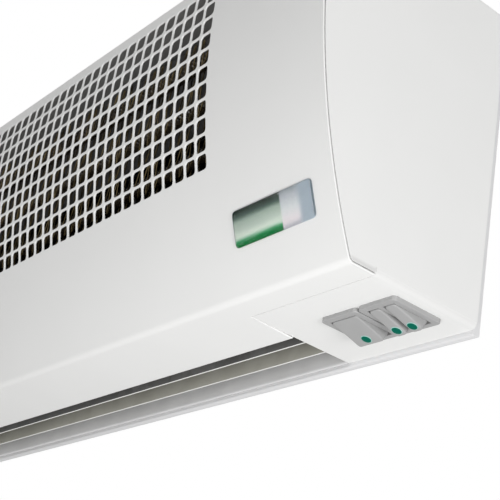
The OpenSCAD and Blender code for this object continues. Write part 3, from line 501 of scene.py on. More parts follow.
def make_piece(name, points, faces, finish, slot, stands_for=(), body="casing",
               thickness=0, offset=-1, edge=0.2, angle=35):
    """Builds a piece from millimetres, gives it thickness and soft edges, and puts it on its body."""
    mesh = bpy.data.meshes.new(name)
    mesh.from_pydata([[c * MM for c in p] for p in points], [], faces)
    work = bmesh.new()
    work.from_mesh(mesh)
    bmesh.ops.remove_doubles(work, verts=work.verts, dist=0.001 * MM)
    loose = [v for v in work.verts if not v.link_faces]
    bmesh.ops.delete(work, geom=loose, context="VERTS")
    if not thickness:
        bmesh.ops.recalc_face_normals(work, faces=work.faces)
    for face in work.faces:
        face.smooth = True
    for seam in work.edges:
        if len(seam.link_faces) == 2 and seam.calc_face_angle(0) > radians(angle):
            seam.smooth = False
    work.to_mesh(mesh)
    work.free()
    mesh.materials.append(finish)
    piece = bpy.data.objects.new(name, mesh)
    bpy.context.scene.collection.objects.link(piece)
    if thickness:
        solid = piece.modifiers.new("sheet_thickness", "SOLIDIFY")
        solid.thickness = thickness * MM
        solid.offset = offset
        solid.use_even_offset = True
    if edge:
        soften(piece, edge)
    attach(piece, body)
    if stands_for:
        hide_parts(*stands_for)
    return piece


def join_parts(*parts):
    """Several (points, faces) as one."""
    points, faces = [], []
    for more_points, more_faces in parts:
        start = len(points)
        points += list(more_points)
        faces += [tuple(start + k for k in face) for face in more_faces]
    return points, faces


def shown(piece):
    print(piece.name, "-", len(piece.data.vertices), "points before its modifiers")


# %% [markdown]
# The front is one long sheet. Seen from the end it is an arc of 410 mm radius that leans back
# towards the foot, a tight fold, a narrow strip of underside, and a lip that drops a millimetre and
# turns up beside the outlet. These few sizes rule almost everything else, so they come first.

# %% Casing sizes
LENGTH, HEIGHT, DEPTH = 603.0, 183.0, 130.0
HALF, REAR, SHEET, GAP = LENGTH / 2, -4.3, 1.0, 0.3
FRONT_RADIUS, FOLD, TOP_BEND, SIDE_BEND = 410.0, 4.5, 3.0, 4.0
SLOT_FRONT, SLOT_HALF, FOOT_STRIP = -43.2, 212.0, 15.6
face_centre = (FRONT_RADIUS - DEPTH, HEIGHT)
fold_angle = 180 + degrees(asin((HEIGHT - FOLD) / (FRONT_RADIUS - FOLD)))
fold_centre = arc(face_centre, FRONT_RADIUS - FOLD, fold_angle, fold_angle, 1)[0]
top_angle = 180 + degrees(asin(TOP_BEND / (FRONT_RADIUS - TOP_BEND)))
top_centre = arc(face_centre, FRONT_RADIUS - TOP_BEND, top_angle, top_angle, 1)[0]
SEAM = face_centre[0] - sqrt(FRONT_RADIUS ** 2 - HEIGHT ** 2) + FOOT_STRIP
print("fold at y", round(fold_centre[0], 2), "seam at y", round(SEAM, 2))

# %% [markdown]
# The inlet is punched with 8.5 mm square holes at 10 mm pitch, 42 across and 11 up. A punch has
# round corners, here 2 mm, and drags the paint into a soft rim. Cutting 462 holes with booleans
# would be slow and messy. Instead each hole owns four cells of the grid: they are left out, and a
# ring of small faces joins the outer square to a loop with round corners.

# %% Punched holes
PITCH, HOLE, CORNER, COLUMNS, ROWS, GRILLE_FOOT = 10.0, 8.5, 2.0, 42, 11, 66.4
row_turn = 2 * degrees(asin(PITCH / 2 / FRONT_RADIUS))
grille_angle = 180 + degrees(asin((HEIGHT - GRILLE_FOOT) / FRONT_RADIUS))


def hole_loop():
    """The hole's outline as (across, up) about its middle, four points to each round corner."""
    reach = HOLE / 2 - CORNER
    middles = ((-reach, -reach, 180), (reach, -reach, 270), (reach, reach, 0), (-reach, reach, 90))
    return [
        (u + CORNER * cos(radians(a + 30 * k)), v + CORNER * sin(radians(a + 30 * k)))
        for u, v, a in middles for k in range(4)
    ]


def ring_faces(outer, inner):
    """Joins eight points round a cell to the sixteen of its hole. Both run the same way round."""
    faces = []
    for corner in range(4):
        here, middle, following = outer[2 * corner], outer[2 * corner + 1], outer[(2 * corner + 2) % 8]
        curve = inner[4 * corner:4 * corner + 4]
        next_curve = inner[(4 * corner + 4) % 16]
        faces += [(here, curve[k + 1], curve[k]) for k in range(3)]
        faces += [(here, middle, curve[3]), (middle, next_curve, curve[3]), (middle, following, next_curve)]
    return faces


print("a row of holes turns", round(row_turn, 3), "degrees about the face centre")

# %% [markdown]
# Lip, underside strip, fold, plain foot, grille and top are one line of points, so the whole front is
# a single skin, with no joint that could show. The lip is left out beyond the ends of the outlet. The
# Solidify modifier gives the inner side the second finish of the piece, the coat painted dark as shade.

# %% Front cover
LIP_DROP, LIP_HEIGHT, LIP_RADIUS = 1, 10.0, 1.05
lip_tilt = degrees(asin(LIP_DROP / (SLOT_FRONT - SEAM)))
lip_bend = arc((SLOT_FRONT - LIP_RADIUS, 0.09), LIP_RADIUS, 0, -90 - lip_tilt, 5)
half_way = ((SLOT_FRONT + SEAM) / 2, -LIP_DROP / 2)
lip_line = [(SLOT_FRONT, LIP_HEIGHT), (SLOT_FRONT, 6.0)] + lip_bend + [half_way]
fold_line = arc(fold_centre, FOLD, 270, fold_angle, 9)
plain_line = arc(face_centre, FRONT_RADIUS, fold_angle, grille_angle, 14)[1:]
grille_line = arc(face_centre, FRONT_RADIUS, grille_angle, grille_angle - ROWS * row_turn, 2 * ROWS)[1:]
top_line = arc(top_centre, TOP_BEND, top_angle, 90, 7)
top_flat = [(-55.0, HEIGHT), (REAR - GAP, HEIGHT)]
cover_line = lip_line + [(SEAM, 0.0)] + fold_line + plain_line + grille_line + top_line + top_flat
first_seam = len(lip_line)
first_row = len(lip_line) + 1 + len(fold_line) + len(plain_line) - 1
cover_half = HALF - GAP
grille_half = COLUMNS * PITCH / 2
side = [SLOT_HALF, 230.0, 255.0, 280.0, cover_half]
over_grille = [-grille_half + PITCH / 2 * k for k in range(2 * COLUMNS + 1)]
stations = [-x for x in reversed(side)] + over_grille + side
first_column = len(side)


def cover_cell(i, j):
    in_lip = j < first_seam and not (first_column - 1 <= i < len(stations) - first_column)
    in_grille = first_row <= j < first_row + 2 * ROWS and first_column <= i < first_column + 2 * COLUMNS
    return not in_lip and not in_grille


cover_points, cover_faces = skin(cover_line, stations, cover_cell)
for column in range(COLUMNS):
    for row in range(ROWS):
        i, j = first_column + 2 * column, first_row + 2 * row
        around = [(0, 0), (1, 0), (2, 0), (2, 1), (2, 2), (1, 2), (0, 2), (0, 1)]
        outer = [(i + di) * len(cover_line) + j + dj for di, dj in around]
        x = stations[i + 1]
        turn = grille_angle - (row + 0.5) * row_turn
        inner = []
        for across, up in hole_loop():
            angle_here = radians(turn - up * row_turn / PITCH)
            inner.append(len(cover_points))
            cover_points.append((x + across, face_centre[0] + FRONT_RADIUS * cos(angle_here),
                                 face_centre[1] + FRONT_RADIUS * sin(angle_here)))
        cover_faces += ring_faces(outer, inner)
front = make_piece("front_cover_sheet", cover_points, cover_faces, powder_coat, "white_powder_coat",
                   ["front_cover"], thickness=SHEET, edge=0.28)
# The inner side is painted dark grey as shade.
front.data.materials.append(shaded_inside_coat)
front.modifiers["sheet_thickness"].material_offset = 1
shown(front)

# %% [markdown]
# Each end is closed by a second sheet: a flat side that lies inside the wrap of the front, bent
# under at the bottom into a plate. The front's own cut edge stays in sight all round it, with a thin
# dark groove beside it. Where the bend starts, a slit frees the side so that the steel does not tear.
# The bend is soft, 4 mm outside, and gives the long bright line along the foot of the side. The
# right plate also has two windows for the switches. Left and right differ only by a mirror.

# %% End panels
SWITCH_INSET, SWITCH_PITCH = 19.4, 26.1
SWITCH_X = (HALF - SWITCH_INSET, HALF - SWITCH_INSET - SWITCH_PITCH)
SWITCH_Y = REAR - 32.2
WINDOW_HALF = (11.2, 13.9)


def box_skin(low, high):
    """A closed box, for flanges."""
    (a, b, c), (d, e, f) = low, high
    points = [(a, b, c), (d, b, c), (d, e, c), (a, e, c), (a, b, f), (d, b, f), (d, e, f), (a, e, f)]
    return points, [(3, 2, 1, 0), (4, 5, 6, 7), (0, 1, 5, 4), (1, 2, 6, 5), (2, 3, 7, 6), (3, 0, 4, 7)]


def end_panel(with_windows):
    bend_start, plate_rear, wrap = SEAM + 0.15, REAR - 0.05, SHEET + GAP
    xs, ys = [SLOT_HALF + GAP], [bend_start]
    if with_windows:
        xs += [x + hand * WINDOW_HALF[0] for x in reversed(SWITCH_X) for hand in (-1, 1)]
        ys += [SWITCH_Y - WINDOW_HALF[1], SWITCH_Y + WINDOW_HALF[1]]
    xs.append(HALF - SIDE_BEND)
    ys.append(plate_rear)
    outline = [(SEAM, wrap)] + arc(fold_centre, FOLD - wrap, 270, fold_angle, 9)
    outline += arc(face_centre, FRONT_RADIUS - wrap, fold_angle, top_angle, 40)[1:]
    outline += arc(top_centre, TOP_BEND - wrap, top_angle, 90, 7)[1:]
    outline += [(REAR, HEIGHT - wrap), (REAR, SIDE_BEND)] + [(y, SIDE_BEND) for y in reversed(ys)]
    outline += [(bend_start, SIDE_BEND + GAP), (SEAM, SIDE_BEND + GAP)]
    side_face = ([(HALF, y, z) for y, z in outline], [tuple(reversed(range(len(outline))))])
    count = len(ys)
    bend_points = [(HALF - SIDE_BEND + SIDE_BEND * sin(radians(9 * k)), y,
                    SIDE_BEND - SIDE_BEND * cos(radians(9 * k))) for k in range(11) for y in ys]
    bend_faces = [(count * k + j, count * k + j + 1, count * (k + 1) + j + 1, count * (k + 1) + j)
                  for k in range(10) for j in range(count - 1)]

    def solid_cell(i, j):
        return not (with_windows and i in (1, 3) and j == 1)

    plate_points, plate_faces = skin([(y, 0.0) for y in ys], xs, solid_cell)
    plate_faces = [tuple(reversed(face)) for face in plate_faces]
    return join_parts(side_face, (bend_points, bend_faces), (plate_points, plate_faces))


def panel_flanges():
    tab = box_skin((SLOT_HALF + 4, SEAM - 11, 1.05), (HALF - SIDE_BEND - 1, SEAM + 2.7, 1.95))
    rear = box_skin((HALF - 12, REAR - 1, 8), (HALF - 1, REAR, HEIGHT - 8))
    top = box_skin((HALF - 12, -100, HEIGHT - 2), (HALF - 1, -20, HEIGHT - 1.05))
    return join_parts(tab, rear, top)


def mirrored(points, faces):
    return [(-x, y, z) for x, y, z in points], [tuple(reversed(face)) for face in faces]


for hand, with_windows in (("right", True), ("left", False)):
    sheet, flanges = end_panel(with_windows), panel_flanges()
    if hand == "left":
        sheet, flanges = mirrored(*sheet), mirrored(*flanges)
    # The side sheet's coat is painted a shade lower on its bend.
    panel = make_piece(f"{hand}_end_sheet", *sheet, side_coat_bend_shade, "white_powder_coat",
                       [f"{hand}_end_panel"], thickness=SHEET, edge=0.25)
    make_piece(f"{hand}_end_flanges", *flanges, powder_coat, "white_powder_coat", edge=0.15)
    shown(panel)

# %% [markdown]
# The outlet shows two guide vanes of thin sheet, so they use the same skin. A vane stands upright
# at its lower edge and leans forward at its top; a painted highlight on its lower edge draws the thin
# line in the slot. The front vane's zinc carries painted shade and the rear vane's painted light.

# %% Guide vanes
VANE_HEIGHT, VANE_LEAN, VANE_LOW, VANE_OFFSET, DUCT_HALF = 26.0, 6.0, 2.85, 7.1, 213
vane_radius = (VANE_HEIGHT ** 2 + VANE_LEAN ** 2) / (2 * VANE_LEAN)
vane_turn = degrees(asin(VANE_HEIGHT / vane_radius))
slot_middle = (REAR + SLOT_FRONT) / 2
# The front vane's tones are darker and the rear vane's lighter: lit and shaded copies of one zinc.
vane_list = (("front", slot_middle - VANE_OFFSET, "787876", "444444"),
             ("rear", slot_middle + VANE_OFFSET, "DAD8CC", "A09E93"))
for label, y, outlet_tone, shaded_tone in vane_list:
    vane_line = arc((y - vane_radius, VANE_LOW), vane_radius, 0, vane_turn, 16)
    vane_zinc = galvanised_finish(f"shaded_galvanised_vane_{label}", outlet_tone, shaded_tone, VANE_LOW + 0.25)
    vane_skin = skin(vane_line, [-DUCT_HALF, -SLOT_HALF / 2, 0, SLOT_HALF / 2, DUCT_HALF])
    vane = make_piece(f"vane_{label}", *vane_skin, vane_zinc, "zinc_steel",
                      [f"guide_vane_{label}"], thickness=0.8, offset=0, edge=0.22)
    shown(vane)

# %% [markdown]
# Behind the fan, the scroll moves away from the drum as it goes round, which turns the whirl of the
# air into pressure. Its radius grows evenly with the angle, so a short formula draws it. Opposite
# stands the tongue, a rolled nose that parts the air that leaves from the air that goes round again.
# It is the top of the duct's front wall, whose line is a soft curve and then an arc.

# %% Duct walls
FAN = (66.0 - DEPTH, 104.0)
IMPELLER, SCROLL_GAP, DUCT = 30.0, 3.5, 0.8
SCROLL_START, SCROLL_SWEEP, SCROLL_STEPS, SCROLL_GROWTH = 110, 130, 52, 0.16
scroll_line = [(FAN[0] - 42, HEIGHT - 12)]
for k in range(SCROLL_STEPS + 1):
    turn = SCROLL_START - SCROLL_SWEEP * k / SCROLL_STEPS
    reach = IMPELLER + SCROLL_GAP + (SCROLL_START - turn) * SCROLL_GROWTH
    scroll_line.append((FAN[0] + reach * cos(radians(turn)), FAN[1] + reach * sin(radians(turn))))
scroll_line += [(-6.0, 20.0), (REAR - 0.05 - DUCT, 1.6), (REAR - 0.05 - DUCT, 0.0)]


def scroll_cell(i, j):
    """The sheet's last strip stops short of the duct's end walls."""
    return i in (1, 2) or j < len(scroll_line) - 2


scroll_skin = skin(scroll_line, [-DUCT_HALF, -SLOT_HALF, 0, SLOT_HALF, DUCT_HALF], scroll_cell)
# The scroll's zinc is painted paler than the sheet near the outlet as light, and darker higher up as shade.
scroll_zinc = galvanised_finish("galvanised_scroll_painted_light_and_shade", "EEEEEF", "D2D2D4")
scroll = make_piece("scroll_sheet", *scroll_skin, scroll_zinc, "zinc_steel", ["scroll_panel"],
                    thickness=DUCT, offset=1, edge=0)
scroll.modifiers.new("even_light", "WEIGHTED_NORMAL")
TONGUE_TURN, NOSE = 255, 5
tongue = arc(FAN, IMPELLER + SCROLL_GAP, TONGUE_TURN, TONGUE_TURN, 1)[0]
low, bend, high = (SLOT_FRONT - 1, 29.0), (SLOT_FRONT - 1, 43.0), (tongue[0] + 6, tongue[1] - 4)
curve = [tuple((1 - t) ** 2 * a + 2 * t * (1 - t) * b + t * t * c for a, b, c in zip(low, bend, high))
         for t in (k / 10 for k in range(11))]
nose = arc((tongue[0], tongue[1] - NOSE), NOSE, 40, 130, 8)
wall_line = [(SLOT_FRONT - 1, 4.0)] + curve + nose + [(tongue[0] - 6, tongue[1] - 5), (-106.9, 58.0)]
wall_skin = skin(wall_line, [-DUCT_HALF, 0, DUCT_HALF])
# The duct's front wall takes the zinc with painted shade by height.
duct_wall = make_piece("duct_front_sheet", *wall_skin, galvanised, "zinc_steel",
                       ["duct_front_wall"], thickness=DUCT, offset=-1, edge=0.2)
shown(scroll)
shown(duct_wall)

# %% [markdown]
# The fan is a long drum of 24 forward-curved blades between five discs. Each blade is rolled strip,
# 0.7 mm thick. The blades are skins between the discs, and the discs are pressed sheet with a
# shallow step, made as a small outline spun about the fan's axis.

# %% Impeller
def spun(outline, centre, segments=48):
    """Spins a closed outline of (x, radius) about the X axis through centre (y, z)."""
    count = len(outline)
    points = [(x, centre[0] + r * cos(2 * pi * k / segments), centre[1] + r * sin(2 * pi * k / segments))
              for k in range(segments) for x, r in outline]
    faces = [(k * count + m, k * count + (m + 1) % count,
              (k + 1) % segments * count + (m + 1) % count, (k + 1) % segments * count + m)
             for k in range(segments) for m in range(count)]
    return points, faces


impeller_end, BAYS, DISC, BLADES = 204.0, 4, 1.2, 24
BLADE_IN, BLADE_REACH, BLADE_CURL, BLADE_STEPS = 22, 7.5, 15, 8
HUB_HOLE, PRESSED, PRESS_DEPTH = 9, (20, 21, 29.2), 0.3
bay = (2 * impeller_end - DISC) / BAYS
blade_parts = []
for b in range(BAYS):
    for k in range(BLADES):
        line = []
        for step in range(BLADE_STEPS + 1):
            t = step / BLADE_STEPS
            reach = BLADE_IN + BLADE_REACH * t
            turn = radians(360 * k / BLADES + BLADE_CURL * t * t + 1.0)
            line.append((FAN[0] + reach * cos(turn), FAN[1] + reach * sin(turn)))
        blade_parts.append(skin(line, [b * bay - impeller_end + DISC, (b + 1) * bay - impeller_end]))
blades = make_piece("impeller_blades", *join_parts(*blade_parts), shaded_mill_aluminium, "impeller_aluminium",
                    ["fan_impeller"], body="fan", thickness=0.7, offset=0, edge=0)
discs = []
for b in range(BAYS + 1):
    x = b * bay - impeller_end
    left_face = [(x, HUB_HOLE), (x, PRESSED[0]), (x + PRESS_DEPTH, PRESSED[1]),
                 (x + PRESS_DEPTH, PRESSED[2]), (x, IMPELLER)]
    right_face = [(across + DISC, r) for across, r in reversed(left_face)]
    discs.append(spun(left_face + right_face, FAN))
disc_piece = make_piece("impeller_discs", *join_parts(*discs), shaded_mill_aluminium, "impeller_aluminium",
                        body="fan", edge=0)
shown(blades)
shown(disc_piece)

# %% [markdown]
# The heater is of the needle kind: a thin wire runs zigzag through the edges of each mica strip, so
# that its tips stand out above and below like needles. It goes out along the front edge and comes
# back along the rear one. A tube that follows the zigzag, with three points to round each tip,
# gives the live, spiky glitter behind the grille that a flat ribbon can't.

# %% Heating wire
def tube(path, radius, sides=6):
    """A tube along a path, turned as little as possible from ring to ring, with closed ends."""
    path = [Vector(p) for p in path]
    ways = [(path[min(k + 1, len(path) - 1)] - path[max(k - 1, 0)]).normalized() for k in range(len(path))]
    out = ways[0].orthogonal().normalized()
    points = []
    for point, way in zip(path, ways):
        out = (out - out.dot(way) * way).normalized()
        up = way.cross(out)
        turns = [2 * pi * s / sides for s in range(sides)]
        points += [tuple(point + radius * (cos(turn) * out + sin(turn) * up)) for turn in turns]
    faces = [(k * sides + s, k * sides + (s + 1) % sides,
              (k + 1) * sides + (s + 1) % sides, (k + 1) * sides + s)
             for k in range(len(path) - 1) for s in range(sides)]
    last = (len(path) - 1) * sides
    return points, faces + [tuple(range(sides))[::-1], tuple(last + s for s in range(sides))]


def face_y(z):
    """The inside of the front sheet at a height."""
    return face_centre[0] - sqrt((FRONT_RADIUS - SHEET) ** 2 - (HEIGHT - z) ** 2)


HEATER_GAP, WIRE_OUT, WIRE_RADIUS, WIRE_END, LINK_X = 6, 5, 0.38, 205.0, -204.3
strips = [(face_y(z) + HEATER_GAP + WIRE_OUT, z) for z in (84.0, 112.0, 140.0)]
NEEDLES, STEP, TIP = 51, 8.0, 11.0


def zigzag(y, z):
    path = []
    for k in range(2 * NEEDLES + 1):
        x, side_up = -NEEDLES * STEP / 2 + k * STEP / 2, -1 if k % 2 == 0 else 1
        for dx, back in ((-0.55, 1.4), (0, 0), (0.55, 1.4)):
            if abs(x + dx) <= NEEDLES * STEP / 2:
                path.append((x + dx, y, z + side_up * (TIP - back)))
    return path + [(WIRE_END, y, z + 9)]


wires = []
for y, z in strips:
    there, back = zigzag(y - WIRE_OUT, z), zigzag(y + WIRE_OUT, z)
    link = [(LINK_X, y - 3, z - TIP), (LINK_X - 0.2, y, z - TIP), (LINK_X, y + 3, z - TIP)]
    wires.append(tube(list(reversed(there)) + link + back, WIRE_RADIUS))
wire = make_piece("heating_wire_zigzag", *join_parts(*wires), hot_wire, "heating_wire",
                  ["heater_needles"], edge=0)
shown(wire)

# %% [markdown]
# Each strip is a flat board, 1 mm thick, with a notch in its edge for every pass of the wire. Such a
# board needs only its outline: the notches are points of it, and Solidify adds the thickness.
# Cutting 612 notches with booleans would be far slower.

# %% Mica strips
STRIP_HALF, STRIP_EDGE, NOTCH_EDGE, NOTCH_HALF = 210.0, 4.65, 4.1, 0.4
notched = []
for k in range(2 * NEEDLES):
    x = -NEEDLES * STEP / 2 + (k + 0.5) * STEP / 2
    notched += [(x - NOTCH_HALF, -STRIP_EDGE), (x - NOTCH_HALF, -NOTCH_EDGE),
                (x + NOTCH_HALF, -NOTCH_EDGE), (x + NOTCH_HALF, -STRIP_EDGE)]
front_edge = [(-STRIP_HALF, -STRIP_EDGE)] + notched + [(STRIP_HALF, -STRIP_EDGE)]
rim = front_edge + [(x, -y) for x, y in reversed(front_edge)]
rim_face = [tuple(reversed(range(len(rim))))]
mica_parts = [([(x, y + dy, z - 0.5) for x, dy in rim], rim_face) for y, z in strips]
mica_piece = make_piece("mica_strips_notched", *join_parts(*mica_parts), mica, "mica_board",
                        ["heater_mica_strips"], thickness=1.0, edge=0)
shown(mica_piece)

# %% [markdown]
# The switches are what a hand touches, so their edges matter most. A bezel is a low frame with a
# rounded outline, at the lower end of the switch's body. Both are one stack of loops, and the
# windows for the keys are cut with a boolean, which is fine for such simple shapes.

# %% Switch bodies
def rounded(width, height, radius, steps=6):
    """A rounded rectangle about the origin, counter-clockwise."""
    turn = pi / 2 / steps
    middles = ((1, 1, 0), (-1, 1, 1), (-1, -1, 2), (1, -1, 3))
    return [(sx * (width / 2 - radius) + radius * cos(q * pi / 2 + k * turn),
             sy * (height / 2 - radius) + radius * sin(q * pi / 2 + k * turn))
            for sx, sy, q in middles for k in range(steps + 1)]


def stacked(loops):
    """Joins loops of equal length, given as lists of 3-D points, and caps both ends."""
    count = len(loops[0])
    points = [p for loop in loops for p in loop]
    faces = [(m * count + k, m * count + (k + 1) % count,
              (m + 1) * count + (k + 1) % count, (m + 1) * count + k)
             for m in range(len(loops) - 1) for k in range(count)]
    last = (len(loops) - 1) * count
    return points, faces + [tuple(range(count))[::-1], tuple(last + k for k in range(count))]


def cut(piece, cutters):
    """Cuts shapes, given as (points, faces), out of a piece and leaves a plain mesh."""
    mesh = bpy.data.meshes.new("cutter")
    points, faces = join_parts(*cutters)
    mesh.from_pydata([[c * MM for c in p] for p in points], [], faces)
    cutter = bpy.data.objects.new("cutter", mesh)
    bpy.context.scene.collection.objects.link(cutter)
    boolean = piece.modifiers.new("cut", "BOOLEAN")
    boolean.object = cutter
    boolean.operation = "DIFFERENCE"
    boolean.solver = "EXACT"
    bpy.context.view_layer.update()
    result = bpy.data.meshes.new_from_object(piece.evaluated_get(bpy.context.evaluated_depsgraph_get()))
    piece.modifiers.clear()
    piece.data = result
    bpy.data.objects.remove(cutter)


PIVOT_Z, TILT, REACH, DROP, DRAFT, BEZEL = 2.5, 14.0, 10.4, 7.7, 0.25, 2.4
NARROW, WIDE, APART = 7.2, 17.6, 5.2
cavity = REACH * cos(radians(TILT)) + DROP * sin(radians(TILT)) + 0.55
BEZEL_WIDTH, BEZEL_LENGTH, BEZEL_CORNER, RIM_WIDTH = 25.2, 31.6, 2.2, 1.7
BODY_TOP, WINDOW_FROM, WINDOW_TO = 18, -5, 9.5
bezel_steps = ((BODY_TOP, RIM_WIDTH), (0.02, RIM_WIDTH), (0.0, 0.0), (-1.7, 0.0), (-2.0, 0.05), (-2.2, 0.16),
               (-2.34, 0.34), (-BEZEL, 0.6))
switch_list = (("double", SWITCH_X[0], (-APART, APART), NARROW), ("single", SWITCH_X[1], (0.0,), WIDE))
for label, x, keys, key_width in switch_list:
    loops = []
    for z, inset in bezel_steps:
        above_plate = inset == RIM_WIDTH
        width, height = BEZEL_WIDTH - 2 * inset, BEZEL_LENGTH - 2 * inset - (1.0 if above_plate else 0.0)
        corner = 0.6 if above_plate else BEZEL_CORNER - inset * 0.5
        loops.append([(x + a, SWITCH_Y + b, z) for a, b in rounded(width, height, corner)])
    body_piece = make_piece(f"switch_{label}_body", *stacked(loops), grey_nylon, "grey_plastic",
                            [f"switch_body_{label}"], edge=0)
    reach_x = key_width / 2 + DRAFT + 0.1
    windows = [box_skin((x + k - reach_x, SWITCH_Y - cavity, WINDOW_FROM),
                        (x + k + reach_x, SWITCH_Y + cavity, WINDOW_TO)) for k in keys]
    cut(body_piece, windows)
    soften(body_piece, 0.15, 2, 50)
    shown(body_piece)

# %% [markdown]
# A key is lofted from sections across it: a gently hollow face, rolled edges, and side walls that
# spread towards the window, because a mould needs that draft. A plain block with a bevel would
# leave a dark slit beside the key, and its bevel would eat into the outline. Each key is drawn level
# about its pivot and then tipped, with its rear end down.

# %% Keys
HOLLOW, SWEEP = 0.2, 12.0
hollow_radius = (REACH ** 2 + HOLLOW ** 2) / (2 * HOLLOW)
from_middle = (0.0, 2.5, 5.0, 7.0, 8.4, 8.8, 9.2, 9.6, 9.95, 10.2, 10.34, 10.4)
key_stations = [-a for a in reversed(from_middle[1:])] + list(from_middle)


def tilted(x, y, z, middle):
    """From a key drawn level about its pivot to its place, with its rear end down."""
    c, s = cos(radians(-TILT)), sin(radians(-TILT))
    return (middle + x, SWITCH_Y + y * c - z * s, PIVOT_Z + y * s + z * c)


def hollow_level(y):
    return -DROP - hollow_radius + HOLLOW + sqrt(hollow_radius ** 2 - y ** 2)


def rolled(past, radius):
    """How far a quarter-round falls away at a distance past its start."""
    return radius - sqrt(max(radius ** 2 - max(past, 0) ** 2, 0))


def key_section(width, station):
    """Half a section of a key, from the middle of its face out over the edge and down its drafted wall."""
    corner, edge = (2.0, 0.8) if width == NARROW else (1.8, 0.6)
    half = width / 2 - rolled(abs(station) - REACH + corner, corner)
    face = hollow_level(station) + rolled(abs(station) - REACH + 0.5, 0.5)
    section = [(0, face), (0.5 * (half - edge), face)]
    section += [(half - edge * (1 - sin(radians(a))), face + edge * (1 - cos(radians(a))))
                for a in (0, 22.5, 45, 67.5, 90)]
    wall = [(half + 0.4 * DRAFT, -4.6), (half + DRAFT, -2.0), (half + DRAFT, 0.0), (half + DRAFT, 2.5)]
    return section + wall


def key_reach(z):
    """The ends are swept about the pivot, so that they pass the window closely in any position."""
    return 9.0 if z > 0 else max(REACH, sqrt(SWEEP ** 2 - z ** 2) - 0.1)


key_list = (("rocker_fan", "fan_key", SWITCH_X[1], WIDE),
            ("rocker_heat_low", "heat_low_key", SWITCH_X[0] - APART, NARROW),
            ("rocker_heat_high", "heat_high_key", SWITCH_X[0] + APART, NARROW))
for name, body, middle, width in key_list:
    loops = []
    for station in key_stations:
        right = key_section(width, station)
        whole = [(-x, z) for x, z in reversed(right[1:])] + right
        loops.append([tilted(x, station * key_reach(z) / REACH, z, middle) for x, z in whole])
    key = make_piece(f"{name}_key", *stacked(loops), grey_nylon, "grey_plastic", [name],
                     body=body, edge=0, angle=50)
    shown(key)

# %% [markdown]
# A lens is a low dome pressed into its key. It is a stack of rings that starts 1 mm inside the key,
# so that no gap can open round it, and it tips with the key.

# %% Lenses
DOT_OFFSET, DOT = 6.2, 2.85
dot_level = hollow_level(DOT_OFFSET)
lens_turns = [2 * pi * k / 32 for k in range(32)]
lens_steps = ((1.0, DOT), (-0.05, DOT), (-0.12, DOT * 0.93), (-0.2, DOT * 0.75), (-0.24, DOT * 0.4),
              (-0.25, 0.05))
for name, body, middle, width in key_list:
    rings = []
    for level, radius in lens_steps:
        rings.append([tilted(radius * cos(turn), DOT_OFFSET + radius * sin(turn), dot_level + level, middle)
                      for turn in lens_turns])
    centre = Vector(tilted(0, DOT_OFFSET, dot_level, middle)) * MM
    axis = (0, sin(radians(TILT)), cos(radians(TILT)))
    lens_green = lens_finish(f"green_polycarbonate_{name}", centre, axis, DOT * MM)
    lens = make_piece(f"{name}_lens", *stacked(rings), lens_green, "green_lens", [f"{name}_dot"],
                      body=body, edge=0)
    shown(lens)

# %% [markdown]
# The badge sits on the lower front, near the switches, and leans back with it. So it is drawn in its
# own directions: across, up along the sheet and out from it.

# %% Place of the badge
BADGE_W, BADGE_H, BADGE_CORNER, BADGE_INSET, BADGE_Z = 59.0, 18.5, 2.2, 15.0, 31.0
BADGE_X = HALF - BADGE_INSET - BADGE_W / 2
badge_angle = radians(180 + degrees(asin((HEIGHT - BADGE_Z) / FRONT_RADIUS)))
out = Vector((0, cos(badge_angle), sin(badge_angle)))
up = Vector((0, out.z, -out.y))
badge_middle = Vector((BADGE_X, face_centre[0], face_centre[1])) + FRONT_RADIUS * out


def on_badge(across, high, level):
    return tuple(badge_middle + Vector((across, 0, 0)) + high * up + level * out)


print("the badge's own up points to", [round(c, 2) for c in up])

# %% [markdown]
# The foil is printed in two plain fields. The larger one is green: full green at its foot, then pale
# sage, grey-green and almost black at its top. The other is silver-blue, and its fade gives way to
# one plain tone near the right end. Both short ends of the foil carry a thin dark line. Colour ramps
# over the badge's own height draw the fades, and shares of its width, counted from the middle, say
# where a field begins. The foil itself has hardly any gloss, since the resin lies on it.

# %% Printed foil
FIELD_EDGE, PLAIN_FROM, END_LINE = 0.115, (0.31, 0.37), 0.488
badge_print, tree, shader, place = new_finish("printed_foil", Roughness=0.4, Specular_IOR_Level=0.03,
                                              Coat_Weight=0.03, Coat_Roughness=0.08)
away = put(tree, "VectorMath", {0: place, 1: badge_middle * MM}, operation="SUBTRACT").outputs["Vector"]
along = (1 / (BADGE_W * MM), 0, 0)
across = put(tree, "VectorMath", {0: away, 1: along}, operation="DOT_PRODUCT").outputs["Value"]
height = put(tree, "VectorMath", {0: away, 1: up / (BADGE_H * MM)}, operation="DOT_PRODUCT").outputs["Value"]
fade = put(tree, "MapRange", {"Value": height, "From Min": -0.5, "From Max": 0.5}).outputs["Result"]
green_field = put(tree, "ValToRGB", {"Fac": fade})


def add_stops(ramp, stops):
    """Fills a colour ramp from (place, hex) stops, the first and last at its two ends."""
    for element, (position, code) in zip((ramp.elements[0], ramp.elements[1]), (stops[0], stops[-1])):
        element.position, element.color = position, colour(code)
    for position, code in stops[1:-1]:
        ramp.elements.new(position).color = colour(code)


